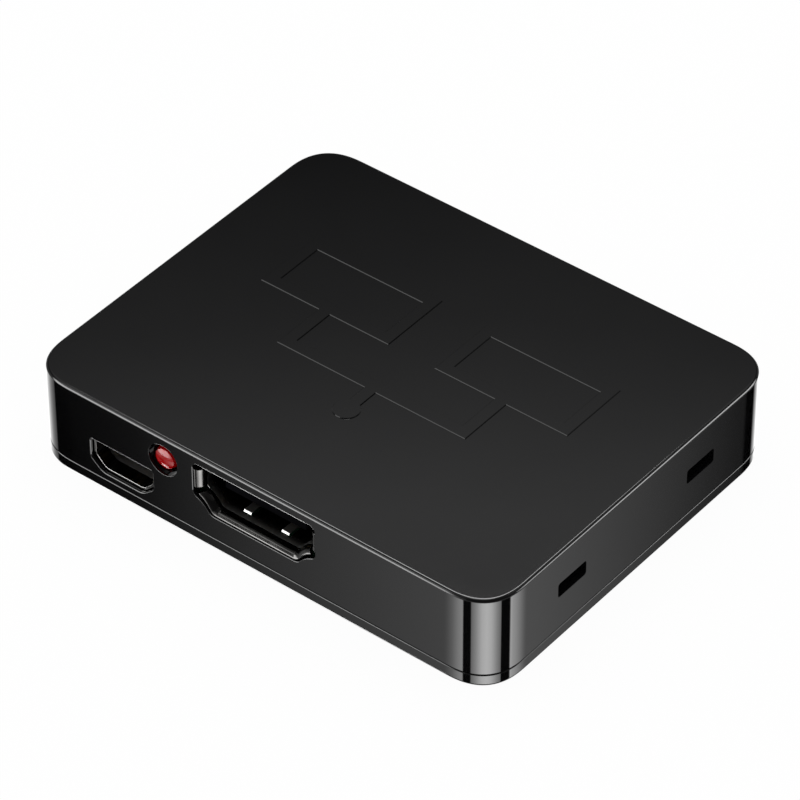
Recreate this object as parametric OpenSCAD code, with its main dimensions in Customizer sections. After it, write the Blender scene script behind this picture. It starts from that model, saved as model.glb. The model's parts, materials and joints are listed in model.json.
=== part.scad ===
// Video splitter: one signal comes in at the front, two go out at the back.
// Frame: origin under the middle of the floor, +Z up, the input face towards -Y. Millimetres.

/* [Case] */
// Width of the case along the input face
case_w = 60; // [54:0.5:72]
// Depth of the case from the input face to the output face
case_d = 47.75; // [44:0.25:60]
// Radius of the four upright corners
corner_r = 4.7; // [4.2:0.1:5.6]
// Thickness of the side walls
wall = 1.5; // [1.3:0.1:1.8]
// Thickness of the roof
roof = 1; // [0.8:0.1:1.4]
// Rounding of the edge between roof and walls
top_edge_r = 0.35; // [0.2:0.05:0.6]
// Rounding of the edge round the floor
bottom_edge_r = 0.25; // [0.2:0.05:0.6]
// Height of the seam between the two halves of the case
seam_z = 1.7; // [1.6:0.05:1.9]
// Depth and height of the groove that marks the seam
seam_groove = 0.15; // [0.1:0.05:0.25]
// Thickness of the floor of the bottom cover
floor_t = 1.2; // [1:0.1:1.4]
// Height of the locating rib that stands inside the walls
rib_h = 0.7; // [0.5:0.05:0.8]
// Thickness of the locating rib
rib_t = 1; // [0.8:0.1:1.2]
// Gap between the locating rib and the walls
rib_gap = 0.2; // [0.15:0.05:0.3]
// Thickness of the walls where a port's window is cut
window_wall = 0.35; // [0.35:0.05:0.6]
// Gap between a window's wall and the mouth of its port
mouth_gap = 0.08; // [0.08:0.02:0.2]
// Room round a port's mouth inside the case
port_room = 0.3; // [0.2:0.05:0.5]
// Room between the roof and the highest port
roof_room = 0.2; // [0.15:0.05:0.5]

/* [Vents and diagram] */
// Length of a vent slot
vent_l = 4.6; // [3:0.1:8]
// Height of a vent slot
vent_h = 1.8; // [1:0.1:2.4]
// Distance between the two vent slots of a side
vent_spacing = 21.5; // [12:0.5:26]
// Height of the vent slots above the table
vent_z = 6.67; // [5.5:0.05:8]
// Height that the diagram stands above the roof
diagram_h = 0.1; // [0.05:0.05:0.3]
// Width of the diagram's lines
diagram_line = 1.5; // [0.8:0.1:2.5]
// Width of one screen in the diagram
diagram_screen_w = 17; // [10:0.5:20]
// Depth of one screen in the diagram
diagram_screen_d = 9; // [6:0.5:12]

/* [Board] */
// Height of the board above the floor of the case
standoff_h = 2.02; // [1.8:0.02:2.6]
// Thickness of the board
board_t = 1.6; // [1.2:0.1:1.8]
// Gap between the board's edge and the walls
board_gap = 0.5; // [0.4:0.1:0.8]

/* [Screws and posts] */
// Radius of a post of the top case and of its boss in the floor
post_r = 2.5; // [2.3:0.1:2.8]
// Radius of a screw's shank
screw_r = 1; // [0.8:0.05:1.1]
// Radius of a screw's head
head_r = 1.8; // [1.6:0.05:2]
// Height of a screw's head
head_h = 1; // [0.8:0.05:1.2]
// Depth of a case screw's head inside the floor
head_sink = 0.25; // [0.1:0.05:0.5]
// Gap between a shank and the bore that it holds in
bore_gap = 0.05; // [0.02:0.01:0.1]
// Gap between a shank or head and the hole that it passes
pass_gap = 0.2; // [0.15:0.05:0.3]
// Length of a case screw's shank
case_screw_l = 6.8; // [5:0.1:7.5]
// Width of the slots of a screw's cross recess
recess_w = 0.45; // [0.3:0.05:0.6]
// Depth of a screw's cross recess
recess_d = 0.6; // [0.3:0.05:0.8]

/* [Video sockets] */
// Width of the opening that the plug enters
throat_w = 14; // [13.9:0.05:14.2]
// Height of the opening that the plug enters
throat_h = 4.55; // [4.5:0.05:4.8]
// Width of the opening at its floor
throat_floor_w = 9.5; // [9:0.1:10.5]
// Drop from the middle of the opening to where its sides turn in
throat_shoulder = 0.4; // [0.2:0.05:0.8]
// Thickness of the shell's sheet
sheet = 0.3; // [0.25:0.05:0.35]
// Depth of the shell from its mouth to its back
socket_l = 11.5; // [10.5:0.1:12.5]
// Depth over which the lips of the mouth flare
lip_l = 0.8; // [0.6:0.1:1.2]
// Flare of the lips at the sides
lip_side = 0.63; // [0.4:0.01:0.8]
// Flare of the lips at the top and the floor
lip_top = 0.38; // [0.3:0.01:0.6]
// Width of a retention spring
spring_w = 1; // [0.8:0.1:1.6]
// Distance between the two retention springs of a socket
spring_spacing = 4.8; // [3.6:0.1:6]
// Depth of a spring's tip behind the mouth
spring_tip = 1.3; // [1.1:0.05:1.8]
// Length of a retention spring
spring_l = 5.2; // [4:0.1:5.6]
// Rise of a spring's crest above the socket's floor
spring_rise = 0.35; // [0.2:0.05:0.5]
// Thickness of a retention spring
spring_t = 0.2; // [0.15:0.01:0.25]
// Drop of a spring's tip below its crest
spring_curl = 0.12; // [0.05:0.01:0.15]
// Gap between a spring and its slot in the shell
spring_gap = 0.12; // [0.08:0.02:0.2]
// Gap between a spring's root and the end of its slot
spring_root_gap = 0.03; // [0.02:0.01:0.06]
// Width of the tongue that carries the contacts
tongue_w = 10.4; // [10.2:0.1:11]
// Thickness of the tongue
tongue_t = 1.1; // [0.9:0.1:1.3]
// Rise of the tongue's middle above the middle of the opening
tongue_rise = 0.35; // [0.2:0.05:0.5]
// Setback of the tongue's tip behind the mouth
tongue_setback = 1.5; // [1.2:0.1:2.2]
// Length of the block that closes the back of the socket
block_l = 3.6; // [3:0.1:4.2]
// Distance between two contacts of one row
contact_pitch = 1; // [0.9:0.05:1.05]
// Number of contacts in the upper row, the lower row has one less
contact_count = 10; // [6:1:10]
// Width of a contact
contact_w = 0.28; // [0.2:0.02:0.34]
// Thickness of a contact
contact_t = 0.15; // [0.1:0.01:0.2]

/* [Power socket] */
// Width of the power socket's opening
power_w = 7.6; // [7:0.1:8]
// Height of the power socket's opening
power_h = 3.1; // [2.9:0.1:3.2]
// Width of the power socket's opening at its floor
power_floor_w = 5.1; // [4.6:0.1:5.6]
// Drop from the middle of the opening to where its sides turn in
power_shoulder = 0.3; // [0.1:0.05:0.6]
// Depth of the power socket
power_l = 7.2; // [6.5:0.1:8]
// Height of the middle of the power socket above the board's underside
power_rise = 1.06; // [0.9:0.02:1.3]
// Gap between the power socket and its notch in the board
power_notch_gap = 0.15; // [0.1:0.05:0.3]
// Room round the power socket in its window
power_window_gap = 0.05; // [0.03:0.01:0.15]
// Room at the sides of the power socket in its window
power_window_side = 0.1; // [0.05:0.05:0.3]
// Distance between the power socket's window and the corner post
power_from_post = 1.1; // [0.6:0.1:2]

/* [Indicator] */
// Radius of the indicator's lens
lens_r = 1.65; // [1.3:0.05:1.8]
// Width of the recess round the lens
lens_recess_w = 0.25; // [0.2:0.05:0.5]
// Depth of the recess round the lens
lens_recess_d = 0.5; // [0.3:0.05:0.7]
// Rise of the lens's dome out of the recess
lens_dome = 0.4; // [0.2:0.05:0.45]
// Distance from the input socket's window to the middle of the lens
lens_from_window = 3.9; // [3:0.1:6]
// Height of the lens above the table
lens_z = 8.5; // [8.3:0.05:8.6]
// Thickness of the collar that holds the lens from inside
lens_collar_t = 0.5; // [0.3:0.05:0.7]
// Width of the collar round the lens
lens_collar_w = 0.35; // [0.2:0.05:0.4]
// Gap between the lens and its hole
lens_gap = 0.02; // [0.01:0.01:0.04]
// Radius of the light-emitting diode
led_r = 1.5; // [1.4:0.05:1.55]
// Length of the diode's straight stretch
led_l = 2.2; // [1.5:0.1:3]
// Gap between the diode's tip and the lens
led_gap = 0.4; // [0.3:0.1:0.8]
// Thickness of the diode's leads
led_lead_t = 0.5; // [0.4:0.05:0.6]
// Distance between the diode's leads
led_lead_pitch = 1.8; // [1.5:0.1:2.2]

/* [Circuit] */
// Side of the splitter chip's body
chip_side = 10; // [8:0.5:11]
// Height of the splitter chip's body
chip_h = 1.2; // [1:0.1:1.6]
// Number of leads on each side of the splitter chip
chip_leads = 16; // [8:2:20]
// Radius of the filter capacitors' cans
can_r = 2; // [1.5:0.1:2.5]
// Height of the filter capacitors' cans above their bases
can_h = 4; // [3:0.1:4.4]
// Length of a small chip part
small_l = 1.6; // [1:0.1:2]

/* [Hidden] */
$fn = 48;
// Overshoot of a cut beyond the face that it opens
cut = 1;

// Heights that stack up from the floor
board_z = floor_t + standoff_h;
board_top = board_z + board_t;
video_z = board_top + sheet + throat_h / 2;
ceiling_z = video_z + throat_h / 2 + sheet + lip_top + roof_room;
case_h = ceiling_z + roof;
power_z = board_z + power_rise;

// Places in plan
front_y = -case_d / 2;
inner_w = case_w - 2 * wall;
inner_d = case_d - 2 * wall;
mouth_in = window_wall + mouth_gap;
mouth_y = front_y + mouth_in;
post_x = case_w / 2 - corner_r;
post_y = case_d / 2 - corner_r;
post_places = [for (sx = [-1, 1], sy = [-1, 1]) [sx * post_x, sy * post_y]];
board_w = inner_w - 2 * board_gap;
board_d = inner_d - 2 * board_gap;
board_screw_x = board_w / 2 - post_r - board_gap;
board_screw_places = [for (sx = [-1, 1]) [sx * board_screw_x, 0]];

// Video window: the shell's outline and its flared lips
window_w = throat_w + 2 * (sheet + lip_side);
window_h = throat_h + 2 * (sheet + lip_top);
window_floor_w = throat_floor_w + 2 * lip_side;
window_shoulder = throat_shoulder + sheet + lip_top / 2;
out_x = post_x - post_r - port_room - window_w / 2;
video_places = [[0, 0], [-out_x, 180], [out_x, 180]];

// Power window
power_window_w = power_w + 2 * (sheet + power_window_side);
power_window_h = power_h + 2 * (sheet + power_window_gap);
power_window_floor_w = power_floor_w + 2 * power_window_side;
power_window_shoulder = power_shoulder + sheet;
power_x = -(post_x - post_r - power_window_w / 2 - power_from_post);

// Indicator
lens_x = -(window_w / 2 + lens_from_window);
lens_back_y = front_y + wall + lens_collar_t;
led_tip_y = lens_back_y + led_gap;
led_flange_w = 0.4;
led_flange_t = 0.8;
led_back_y = led_tip_y + led_r + led_l + led_flange_t;
// The leads go down behind the power socket
led_lead_y = mouth_y + power_l + power_notch_gap + led_lead_t / 2;
led_lead_out = led_lead_y - led_back_y;
lead_tail = 0.6;

// Posts and screws
boss_drop = 0.2;
post_gap = 0.1;
boss_top = board_z - boss_drop;
post_foot = boss_top + post_gap;
seat_z = head_sink + head_h;
shank_top = seat_z + case_screw_l;
shank_tip = 0.6;
bore_end = 0.4;
post_bore_top = shank_top + bore_end;

// Socket details
block_y = socket_l - block_l;
block_gap = 0.05;
leg_w = 1.1;
leg_gap = 0.2;
leg_places = [3, 8.6];
spring_root = spring_tip + spring_l;
foot_l = 0.8;
tail_gap = 0.25;
tail_y = socket_l + tail_gap;
power_tongue_w = 4.2;
power_tongue_gap = 0.1;
power_block_l = 2.4;
power_contact_pitch = 0.8;
power_contact_count = 5;
power_wing_l = 2;
power_wing_w = 1.2;

// Rounded solids

// Section of a wall from the axis of its corner to its outer face
module edge_section(r, h, top_e, bottom_e) {
    translate([0, bottom_e]) square([r, h - top_e - bottom_e]);
    if (top_e > 0) {
        translate([0, h - top_e]) square([r - top_e, top_e]);
        translate([r - top_e, h - top_e]) intersection() {
            circle(top_e);
            square(top_e);
        }
    }
    if (bottom_e > 0) {
        square([r - bottom_e, bottom_e]);
        translate([r - bottom_e, bottom_e]) intersection() {
            circle(bottom_e);
            translate([0, -bottom_e]) square(bottom_e);
        }
    }
}

// Block with round upright corners and rounded edges at the top and the bottom
module rounded_block(w, d, h, r, top_e = 0, bottom_e = 0) {
    translate([r - w / 2, r - d / 2, 0]) cube([w - 2 * r, d - 2 * r, h]);
    for (side = [0 : 3]) {
        out = (side % 2 == 0 ? w : d) / 2 - r;
        run = (side % 2 == 0 ? d : w) - 2 * r;
        rotate([0, 0, 90 * side]) translate([out, run / 2, 0]) {
            rotate([90, 0, 0]) linear_extrude(run) edge_section(r, h, top_e, bottom_e);
            rotate_extrude(angle = 90) edge_section(r, h, top_e, bottom_e);
        }
    }
}

// Port outlines

// Outline of a port: level top, upright sides that turn in at the shoulder, level floor
function port_outline(w, h, floor_w, shoulder) = [
    [-w / 2, h / 2], [w / 2, h / 2], [w / 2, -shoulder],
    [floor_w / 2, -h / 2], [-floor_w / 2, -h / 2], [-w / 2, -shoulder]];

// The same outline, moved outwards by g on every side
function grown_outline(w, h, floor_w, shoulder, g) =
    let (dx = (floor_w - w) / 2)
    let (dz = shoulder - h / 2)
    let (run = norm([dx, dz]))
    let (nx = -dz / run)
    let (nz = dx / run)
    port_outline(
        w + 2 * g, h + 2 * g,
        w + 2 * (g + (h / 2 + g - shoulder) * nz) / nx,
        shoulder - g * (1 - nx) / nz);

// Stands an outline up in the XZ plane and gives it a depth along +Y
module stand(depth) {
    rotate([90, 0, 0]) mirror([0, 0, 1]) linear_extrude(depth) children();
}

module throat(g) {
    polygon(grown_outline(throat_w, throat_h, throat_floor_w, throat_shoulder, g));
}

module power_throat(g) {
    polygon(grown_outline(power_w, power_h, power_floor_w, power_shoulder, g));
}

// Puts a video socket, drawn with its mouth at the origin and its depth along +Y, at its place
module at_video(place) {
    rotate([0, 0, place[1]]) translate([place[1] == 0 ? place[0] : -place[0], mouth_y, video_z]) children();
}

module at_power() {
    translate([power_x, mouth_y, power_z]) children();
}

// Case

// Pocket that thins the wall behind a window, open at the foot of the wall
module window_pocket(w, top_z) {
    translate([-w / 2, window_wall, seam_z - cut]) cube([w, wall, top_z - seam_z + cut]);
}

module video_windows() {
    for (place = video_places) {
        rotate([0, 0, place[1]]) translate([place[1] == 0 ? place[0] : -place[0], front_y, 0]) {
            translate([0, -cut, video_z]) stand(wall + 2 * cut)
                polygon(port_outline(window_w, window_h, window_floor_w, window_shoulder));
            window_pocket(window_w + 2 * port_room, ceiling_z);
        }
    }
}

module power_window() {
    translate([power_x, front_y, 0]) {
        translate([0, -cut, power_z]) stand(wall + 2 * cut)
            polygon(port_outline(power_window_w, power_window_h, power_window_floor_w, power_window_shoulder));
        window_pocket(power_window_w + 2 * port_room, power_z + power_window_h / 2 + port_room);
    }
}

module lens_hole() {
    translate([lens_x, front_y, lens_z]) rotate([-90, 0, 0]) {
        translate([0, 0, -cut]) cylinder(r = lens_r + lens_gap, h = wall + 2 * cut);
        translate([0, 0, -cut]) cylinder(r = lens_r + lens_recess_w, h = lens_recess_d + cut);
    }
}

module vents() {
    for (sx = [-1, 1], sy = [-1, 1])
        translate([sx * (case_w - wall) / 2, sy * vent_spacing / 2, vent_z])
            cube([wall + 2 * cut, vent_l, vent_h], center = true);
}

// Outline of a screen in the diagram
module diagram_screen() {
    difference() {
        square([diagram_screen_w, diagram_screen_d], center = true);
        square([diagram_screen_w - 2 * diagram_line, diagram_screen_d - 2 * diagram_line], center = true);
    }
}

// Raised diagram on the roof: one line comes in, splits and ends at two screens
module diagram() {
    screen_x = diagram_screen_w / 2 + diagram_line * 2;
    screen_y = diagram_screen_d / 2 + diagram_line;
    split_y = -diagram_screen_d / 2;
    translate([0, 0, case_h]) linear_extrude(diagram_h) {
        for (sx = [-1, 1]) {
            translate([sx * screen_x, screen_y]) diagram_screen();
            translate([sx * screen_x - diagram_line / 2, split_y])
                square([diagram_line, diagram_line - split_y]);
        }
        translate([-screen_x, split_y - diagram_line / 2]) square([2 * screen_x, diagram_line]);
        translate([-diagram_line / 2, split_y - diagram_screen_d / 2])
            square([diagram_line, diagram_screen_d / 2]);
        translate([0, split_y - diagram_screen_d / 2]) circle(diagram_line);
    }
}

module top_case() {
    color([0.05, 0.05, 0.055]) difference() {
        union() {
            difference() {
                translate([0, 0, seam_z])
                    rounded_block(case_w, case_d, case_h - seam_z, corner_r, top_e = top_edge_r);
                translate([0, 0, seam_z - cut])
                    rounded_block(inner_w, inner_d, ceiling_z - seam_z + cut, corner_r - wall);
                video_windows();
                power_window();
                lens_hole();
                vents();
            }
            for (p = post_places) translate([p[0], p[1], post_foot])
                cylinder(r = post_r, h = case_h - roof / 2 - post_foot);
            diagram();
        }
        for (p = post_places) translate([p[0], p[1], post_foot - cut])
            cylinder(r = screw_r + bore_gap, h = post_bore_top - post_foot + cut);
    }
}

module bottom_cover() {
    rib_w = inner_w - 2 * rib_gap;
    rib_d = inner_d - 2 * rib_gap;
    rib_r = corner_r - wall - rib_gap;
    color([0.05, 0.05, 0.055]) difference() {
        union() {
            difference() {
                union() {
                    rounded_block(case_w, case_d, seam_z - seam_groove, corner_r, bottom_e = bottom_edge_r);
                    translate([0, 0, seam_z - seam_groove])
                        rounded_block(case_w - 2 * seam_groove, case_d - 2 * seam_groove, seam_groove,
                            corner_r - seam_groove);
                    translate([0, 0, seam_z]) rounded_block(rib_w, rib_d, rib_h, rib_r);
                }
                translate([0, 0, floor_t])
                    rounded_block(rib_w - 2 * rib_t, rib_d - 2 * rib_t, seam_z + rib_h, rib_r - rib_t);
                translate([power_x - power_window_w / 2 - port_room, front_y + wall, seam_z])
                    cube([power_window_w + 2 * port_room, wall + rib_t, rib_h + cut]);
            }
            for (p = post_places) translate([p[0], p[1], floor_t / 2])
                cylinder(r = post_r, h = boss_top - floor_t / 2);
            for (p = board_screw_places) translate([p[0], p[1], floor_t / 2])
                cylinder(r = post_r, h = board_z - floor_t / 2);
            for (sy = [-1, 1]) translate([0, sy * board_d / 4, floor_t / 2])
                cylinder(r = post_r / 2, h = board_z - floor_t / 2);
        }
        for (p = post_places) translate([p[0], p[1], -cut]) {
            cylinder(r = screw_r + pass_gap, h = boss_top + 2 * cut);
            cylinder(r = head_r + pass_gap, h = seat_z + cut);
        }
        for (p = board_screw_places) translate([p[0], p[1], floor_t])
            cylinder(r = screw_r + bore_gap, h = standoff_h + cut);
    }
}

// Screws

// Screw that points up, with the seat of its head at the origin
module screw(shank) {
    difference() {
        translate([0, 0, -head_h]) rotate_extrude() {
            square([screw_r, head_h]);
            translate([0, head_h / 2]) square([head_r, head_h / 2]);
            translate([head_r - head_h / 2, head_h / 2]) intersection() {
                circle(head_h / 2);
                translate([0, -head_h / 2]) square(head_h / 2);
            }
            square([head_r - head_h / 2, head_h / 2]);
        }
        for (turn = [0, 90]) rotate([0, 0, turn]) translate([-head_r / 2, -recess_w / 2, -head_h - cut])
            cube([head_r, recess_w, recess_d + cut]);
    }
    cylinder(r = screw_r, h = shank - shank_tip);
    translate([0, 0, shank - shank_tip]) cylinder(r1 = screw_r, r2 = screw_r / 2, h = shank_tip);
}

module case_screws() {
    color([0.6, 0.6, 0.62]) for (p = post_places) translate([p[0], p[1], seat_z]) screw(case_screw_l);
}

module board_screws() {
    shank = board_t + standoff_h - floor_t / 4;
    color([0.6, 0.6, 0.62]) for (p = board_screw_places)
        translate([p[0], p[1], board_top]) mirror([0, 0, 1]) screw(shank);
}

// Board

// Places of a video socket's legs, seen from its mouth
function leg_xs() = [for (sx = [-1, 1]) sx * (throat_w + sheet) / 2];

module leg_slots() {
    for (place = video_places) at_video(place) for (x = leg_xs(), y = leg_places)
        translate([x - sheet / 2 - leg_gap, y - leg_w / 2 - leg_gap, board_z - video_z - cut])
            cube([sheet + 2 * leg_gap, leg_w + 2 * leg_gap, board_t + 2 * cut]);
}

module circuit_board() {
    notch = post_r + board_gap;
    notch_side = notch + corner_r;
    color([0.04, 0.2, 0.1]) difference() {
        translate([-board_w / 2, -board_d / 2, board_z]) cube([board_w, board_d, board_t]);
        for (sx = [-1, 1], sy = [-1, 1])
            translate([sx * (post_x - notch + notch_side / 2), sy * (post_y - notch + notch_side / 2), board_z])
                cube([notch_side, notch_side, 2 * board_t + cut], center = true);
        for (p = board_screw_places) translate([p[0], p[1], board_z - cut])
            cylinder(r = screw_r + pass_gap, h = board_t + 2 * cut);
        at_power() translate([-power_w / 2 - sheet - power_notch_gap, -cut, board_z - power_z - cut])
            cube([power_w + 2 * (sheet + power_notch_gap), power_l + cut + power_notch_gap, board_t + 2 * cut]);
        leg_slots();
        for (sx = [-1, 1])
            translate([lens_x + sx * led_lead_pitch / 2, led_back_y + led_lead_out, board_z - cut])
                cylinder(r = led_lead_t, h = board_t + 2 * cut);
    }
}

// Video sockets

// Flared plate of a mouth's lip, rising outwards from the shell towards the mouth
module lip(length, flare) {
    translate([-length / 2, 0, 0]) rotate([90, 0, 90]) linear_extrude(length)
        polygon([[0, flare - sheet], [0, flare], [lip_l, 0], [lip_l, -sheet]]);
}

module video_lips() {
    outer_w = throat_w / 2 + sheet;
    outer_h = throat_h / 2 + sheet;
    slant = [(throat_w - throat_floor_w) / 2, throat_h / 2 - throat_shoulder];
    slant_mid = [(throat_w + throat_floor_w) / 4, -(throat_h / 2 + throat_shoulder) / 2];
    slant_angle = atan2(slant[1], slant[0]);
    side_l = throat_h / 2 + throat_shoulder - 2 * lip_side;
    translate([0, 0, outer_h]) lip(throat_w - 2 * lip_side, lip_top);
    translate([0, 0, -outer_h]) rotate([0, 180, 0]) lip(throat_floor_w - lip_side, lip_top);
    for (side = [-1, 1]) mirror([side < 0 ? 1 : 0, 0, 0]) {
        translate([outer_w, 0, (throat_h / 2 - throat_shoulder) / 2]) rotate([0, 90, 0]) lip(side_l, lip_side);
        translate([slant_mid[0], 0, slant_mid[1]]) rotate([0, 180 - slant_angle, 0])
            translate([0, 0, sheet]) lip(norm(slant) - lip_side, lip_top);
    }
}

module video_shell() {
    slot_w = spring_w + 2 * spring_gap;
    slot_z = -throat_h / 2 - sheet - cut;
    difference() {
        translate([0, lip_l, 0]) stand(socket_l - lip_l) throat(sheet);
        stand(socket_l + cut) throat(0);
        for (sx = [-1, 1])
            translate([sx * spring_spacing / 2 - slot_w / 2, spring_tip - spring_gap, slot_z])
                cube([slot_w, spring_l + spring_gap + spring_root_gap, sheet + 2 * cut]);
    }
    video_lips();
    for (x = leg_xs(), y = leg_places)
        translate([x - sheet / 2, y - leg_w / 2, board_z - video_z - lead_tail])
            cube([sheet, leg_w, video_z - board_z + lead_tail - throat_shoulder]);
}

// Springs slope up out of the floor towards the mouth and curl down at the tip
module video_springs() {
    floor_z = -throat_h / 2;
    crest_y = spring_tip + spring_l / 6;
    crest_z = floor_z + spring_rise;
    for (sx = [-1, 1]) translate([sx * spring_spacing / 2 - spring_w / 2, 0, 0])
        rotate([90, 0, 90]) linear_extrude(spring_w) polygon([
            [spring_root, floor_z - spring_t], [spring_root, floor_z],
            [crest_y, crest_z], [spring_tip, crest_z - spring_curl],
            [spring_tip, crest_z - spring_curl - spring_t], [crest_y, crest_z - spring_t]]);
}

// Places of the contacts: x, and 1 for the upper row or -1 for the lower
contact_places = [for (i = [0 : 2 * contact_count - 2])
    [(i - contact_count + 1) * contact_pitch / 2, i % 2 == 0 ? 1 : -1]];

// Side view of a contact: a blade on the tongue, a leg behind the block and a foot on the board
module contact_blade(row) {
    blade_z = tongue_rise + row * tongue_t / 2 + (row > 0 ? 0 : -contact_t);
    foot_z = board_top - video_z;
    tip_y = tongue_setback + sheet;
    translate([-contact_w / 2, 0, 0]) rotate([90, 0, 90]) linear_extrude(contact_w) polygon([
        [tip_y, blade_z], [tip_y, blade_z + contact_t], [tail_y + contact_t, blade_z + contact_t],
        [tail_y + contact_t, foot_z + contact_t], [tail_y + foot_l, foot_z + contact_t],
        [tail_y + foot_l, foot_z], [tail_y, foot_z], [tail_y, blade_z]]);
}

module video_contacts() {
    for (c = contact_places) translate([c[0], 0, 0]) contact_blade(c[1]);
}

module video_tongue() {
    difference() {
        union() {
            translate([0, block_y, 0]) stand(block_l) throat(-block_gap);
            translate([-tongue_w / 2, tongue_setback, tongue_rise - tongue_t / 2])
                cube([tongue_w, block_y - tongue_setback + block_l / 2, tongue_t]);
        }
        for (c = contact_places) {
            slot_z = tongue_rise + c[1] * tongue_t / 2 + (c[1] > 0 ? 0 : -contact_t);
            translate([c[0] - contact_w / 2, block_y - cut, slot_z])
                cube([contact_w, block_l + 2 * cut, contact_t]);
        }
    }
}

module shell_color() { color([0.75, 0.75, 0.76]) children(); }
module gold_color() { color([0.85, 0.66, 0.3]) children(); }
module black_color() { color([0.03, 0.03, 0.03]) children(); }

module video_in_shell() { shell_color() at_video(video_places[0]) video_shell(); }
module video_in_springs() { shell_color() at_video(video_places[0]) video_springs(); }
module video_in_tongue() { black_color() at_video(video_places[0]) video_tongue(); }
module video_in_contacts() { gold_color() at_video(video_places[0]) video_contacts(); }
module video_out_a_shell() { shell_color() at_video(video_places[1]) video_shell(); }
module video_out_a_springs() { shell_color() at_video(video_places[1]) video_springs(); }
module video_out_a_tongue() { black_color() at_video(video_places[1]) video_tongue(); }
module video_out_a_contacts() { gold_color() at_video(video_places[1]) video_contacts(); }
module video_out_b_shell() { shell_color() at_video(video_places[2]) video_shell(); }
module video_out_b_springs() { shell_color() at_video(video_places[2]) video_springs(); }
module video_out_b_tongue() { black_color() at_video(video_places[2]) video_tongue(); }
module video_out_b_contacts() { gold_color() at_video(video_places[2]) video_contacts(); }

// Power socket

module power_shell() {
    shell_color() at_power() {
        difference() {
            stand(power_l) power_throat(sheet);
            translate([0, -cut, 0]) stand(power_l + 2 * cut) power_throat(0);
        }
        for (sx = [-1, 1], y = [power_l / 3, power_l - power_wing_l])
            translate([sx * (power_w / 2 + sheet + power_wing_w / 2), y + power_wing_l / 2,
                board_top - power_z + sheet / 2]) cube([power_wing_w, power_wing_l, sheet], center = true);
    }
}

power_contact_xs = [for (i = [0 : power_contact_count - 1])
    (i - (power_contact_count - 1) / 2) * power_contact_pitch];
power_tongue_z = board_top - power_z + contact_t;
power_tongue_t = power_h / 2 - power_tongue_gap - power_tongue_z;

module power_tongue() {
    black_color() at_power() difference() {
        union() {
            translate([0, power_l - power_block_l, 0]) stand(power_block_l) power_throat(-block_gap);
            translate([-power_tongue_w / 2, tongue_setback, power_tongue_z])
                cube([power_tongue_w, power_l - power_block_l / 2 - tongue_setback, power_tongue_t]);
        }
        for (x = power_contact_xs)
            translate([x - contact_w / 2, power_l - power_block_l - cut, power_tongue_z - contact_t])
                cube([contact_w, power_block_l + 2 * cut, contact_t]);
    }
}

// The contacts run straight from the tongue's underside onto the board
module power_contacts() {
    tip_y = tongue_setback + sheet;
    gold_color() at_power() for (x = power_contact_xs)
        translate([x - contact_w / 2, tip_y, power_tongue_z - contact_t])
            cube([contact_w, power_l + power_notch_gap + foot_l - tip_y, contact_t]);
}

// Indicator

module indicator_lens() {
    cap_r = (lens_r * lens_r + lens_dome * lens_dome) / (2 * lens_dome);
    stem = wall - lens_recess_d;
    color([0.75, 0.03, 0.05]) translate([lens_x, front_y + wall, lens_z]) rotate([90, 0, 0]) rotate_extrude() {
        translate([0, -lens_collar_t]) square([lens_r + lens_collar_w, lens_collar_t]);
        square([lens_r, stem]);
        translate([0, stem]) intersection() {
            translate([0, lens_dome - cap_r]) circle(cap_r);
            square([lens_r, lens_dome]);
        }
    }
}

module indicator_diode() {
    color([0.8, 0.15, 0.12]) translate([lens_x, led_tip_y, lens_z]) rotate([-90, 0, 0]) rotate_extrude() {
        translate([0, led_r]) intersection() {
            circle(led_r);
            translate([0, -led_r]) square(led_r);
        }
        translate([0, led_r]) square([led_r, led_l]);
        translate([0, led_r + led_l]) square([led_r + led_flange_w, led_flange_t]);
    }
}

module indicator_leads() {
    drop = lens_z - board_z + lead_tail;
    color([0.7, 0.7, 0.7]) for (sx = [-1, 1])
        translate([lens_x + sx * led_lead_pitch / 2, led_back_y, lens_z]) {
            translate([-led_lead_t / 2, 0, -led_lead_t / 2])
                cube([led_lead_t, led_lead_out + led_lead_t / 2, led_lead_t]);
            translate([-led_lead_t / 2, led_lead_out - led_lead_t / 2, -drop])
                cube([led_lead_t, led_lead_t, drop + led_lead_t / 2]);
        }
}

// Circuit parts

lead_t = 0.15;
pad_gap = 0.1;

// Lead that leaves a body at its origin along +X, steps down to the board and ends in a foot
module gull_lead(width, height, reach, foot) {
    translate([0, width / 2, 0]) rotate([90, 0, 0]) linear_extrude(width) polygon([
        [0, height], [reach, height], [reach, lead_t], [reach + foot, lead_t],
        [reach + foot, 0], [reach - lead_t, 0], [reach - lead_t, height - lead_t], [0, height - lead_t]]);
}

module lead_row(count, pitch, width, height, reach, foot) {
    for (i = [0 : count - 1]) translate([0, (i - (count - 1) / 2) * pitch, 0])
        gull_lead(width, height, reach, foot);
}

chip_at = [2, -1, 0];
chip_lead_pitch = chip_side * 0.9 / chip_leads;
memory_at = [-13.4, 3, 0];
memory_size = [3.9, 4.9, 1.4];
regulator_at = [-13.6, -3.4, 0];
regulator_size = [3.5, 6.5, 1.6];
crystal_at = [17.5, 0.5, 0];
crystal_size = [4.6, 11, 3];
inductor_at = [22.2, -4.6, 0];
inductor_size = [4.2, 4.2, 2];
can_places = [[-19.7, -4], [-19.7, 4]];
can_base_h = 0.7;

module on_board(at) {
    translate([at[0], at[1], board_top + at[2]]) children();
}

module chip_body(size) {
    black_color() translate([-size[0] / 2, -size[1] / 2, pad_gap]) cube(size);
}

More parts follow.
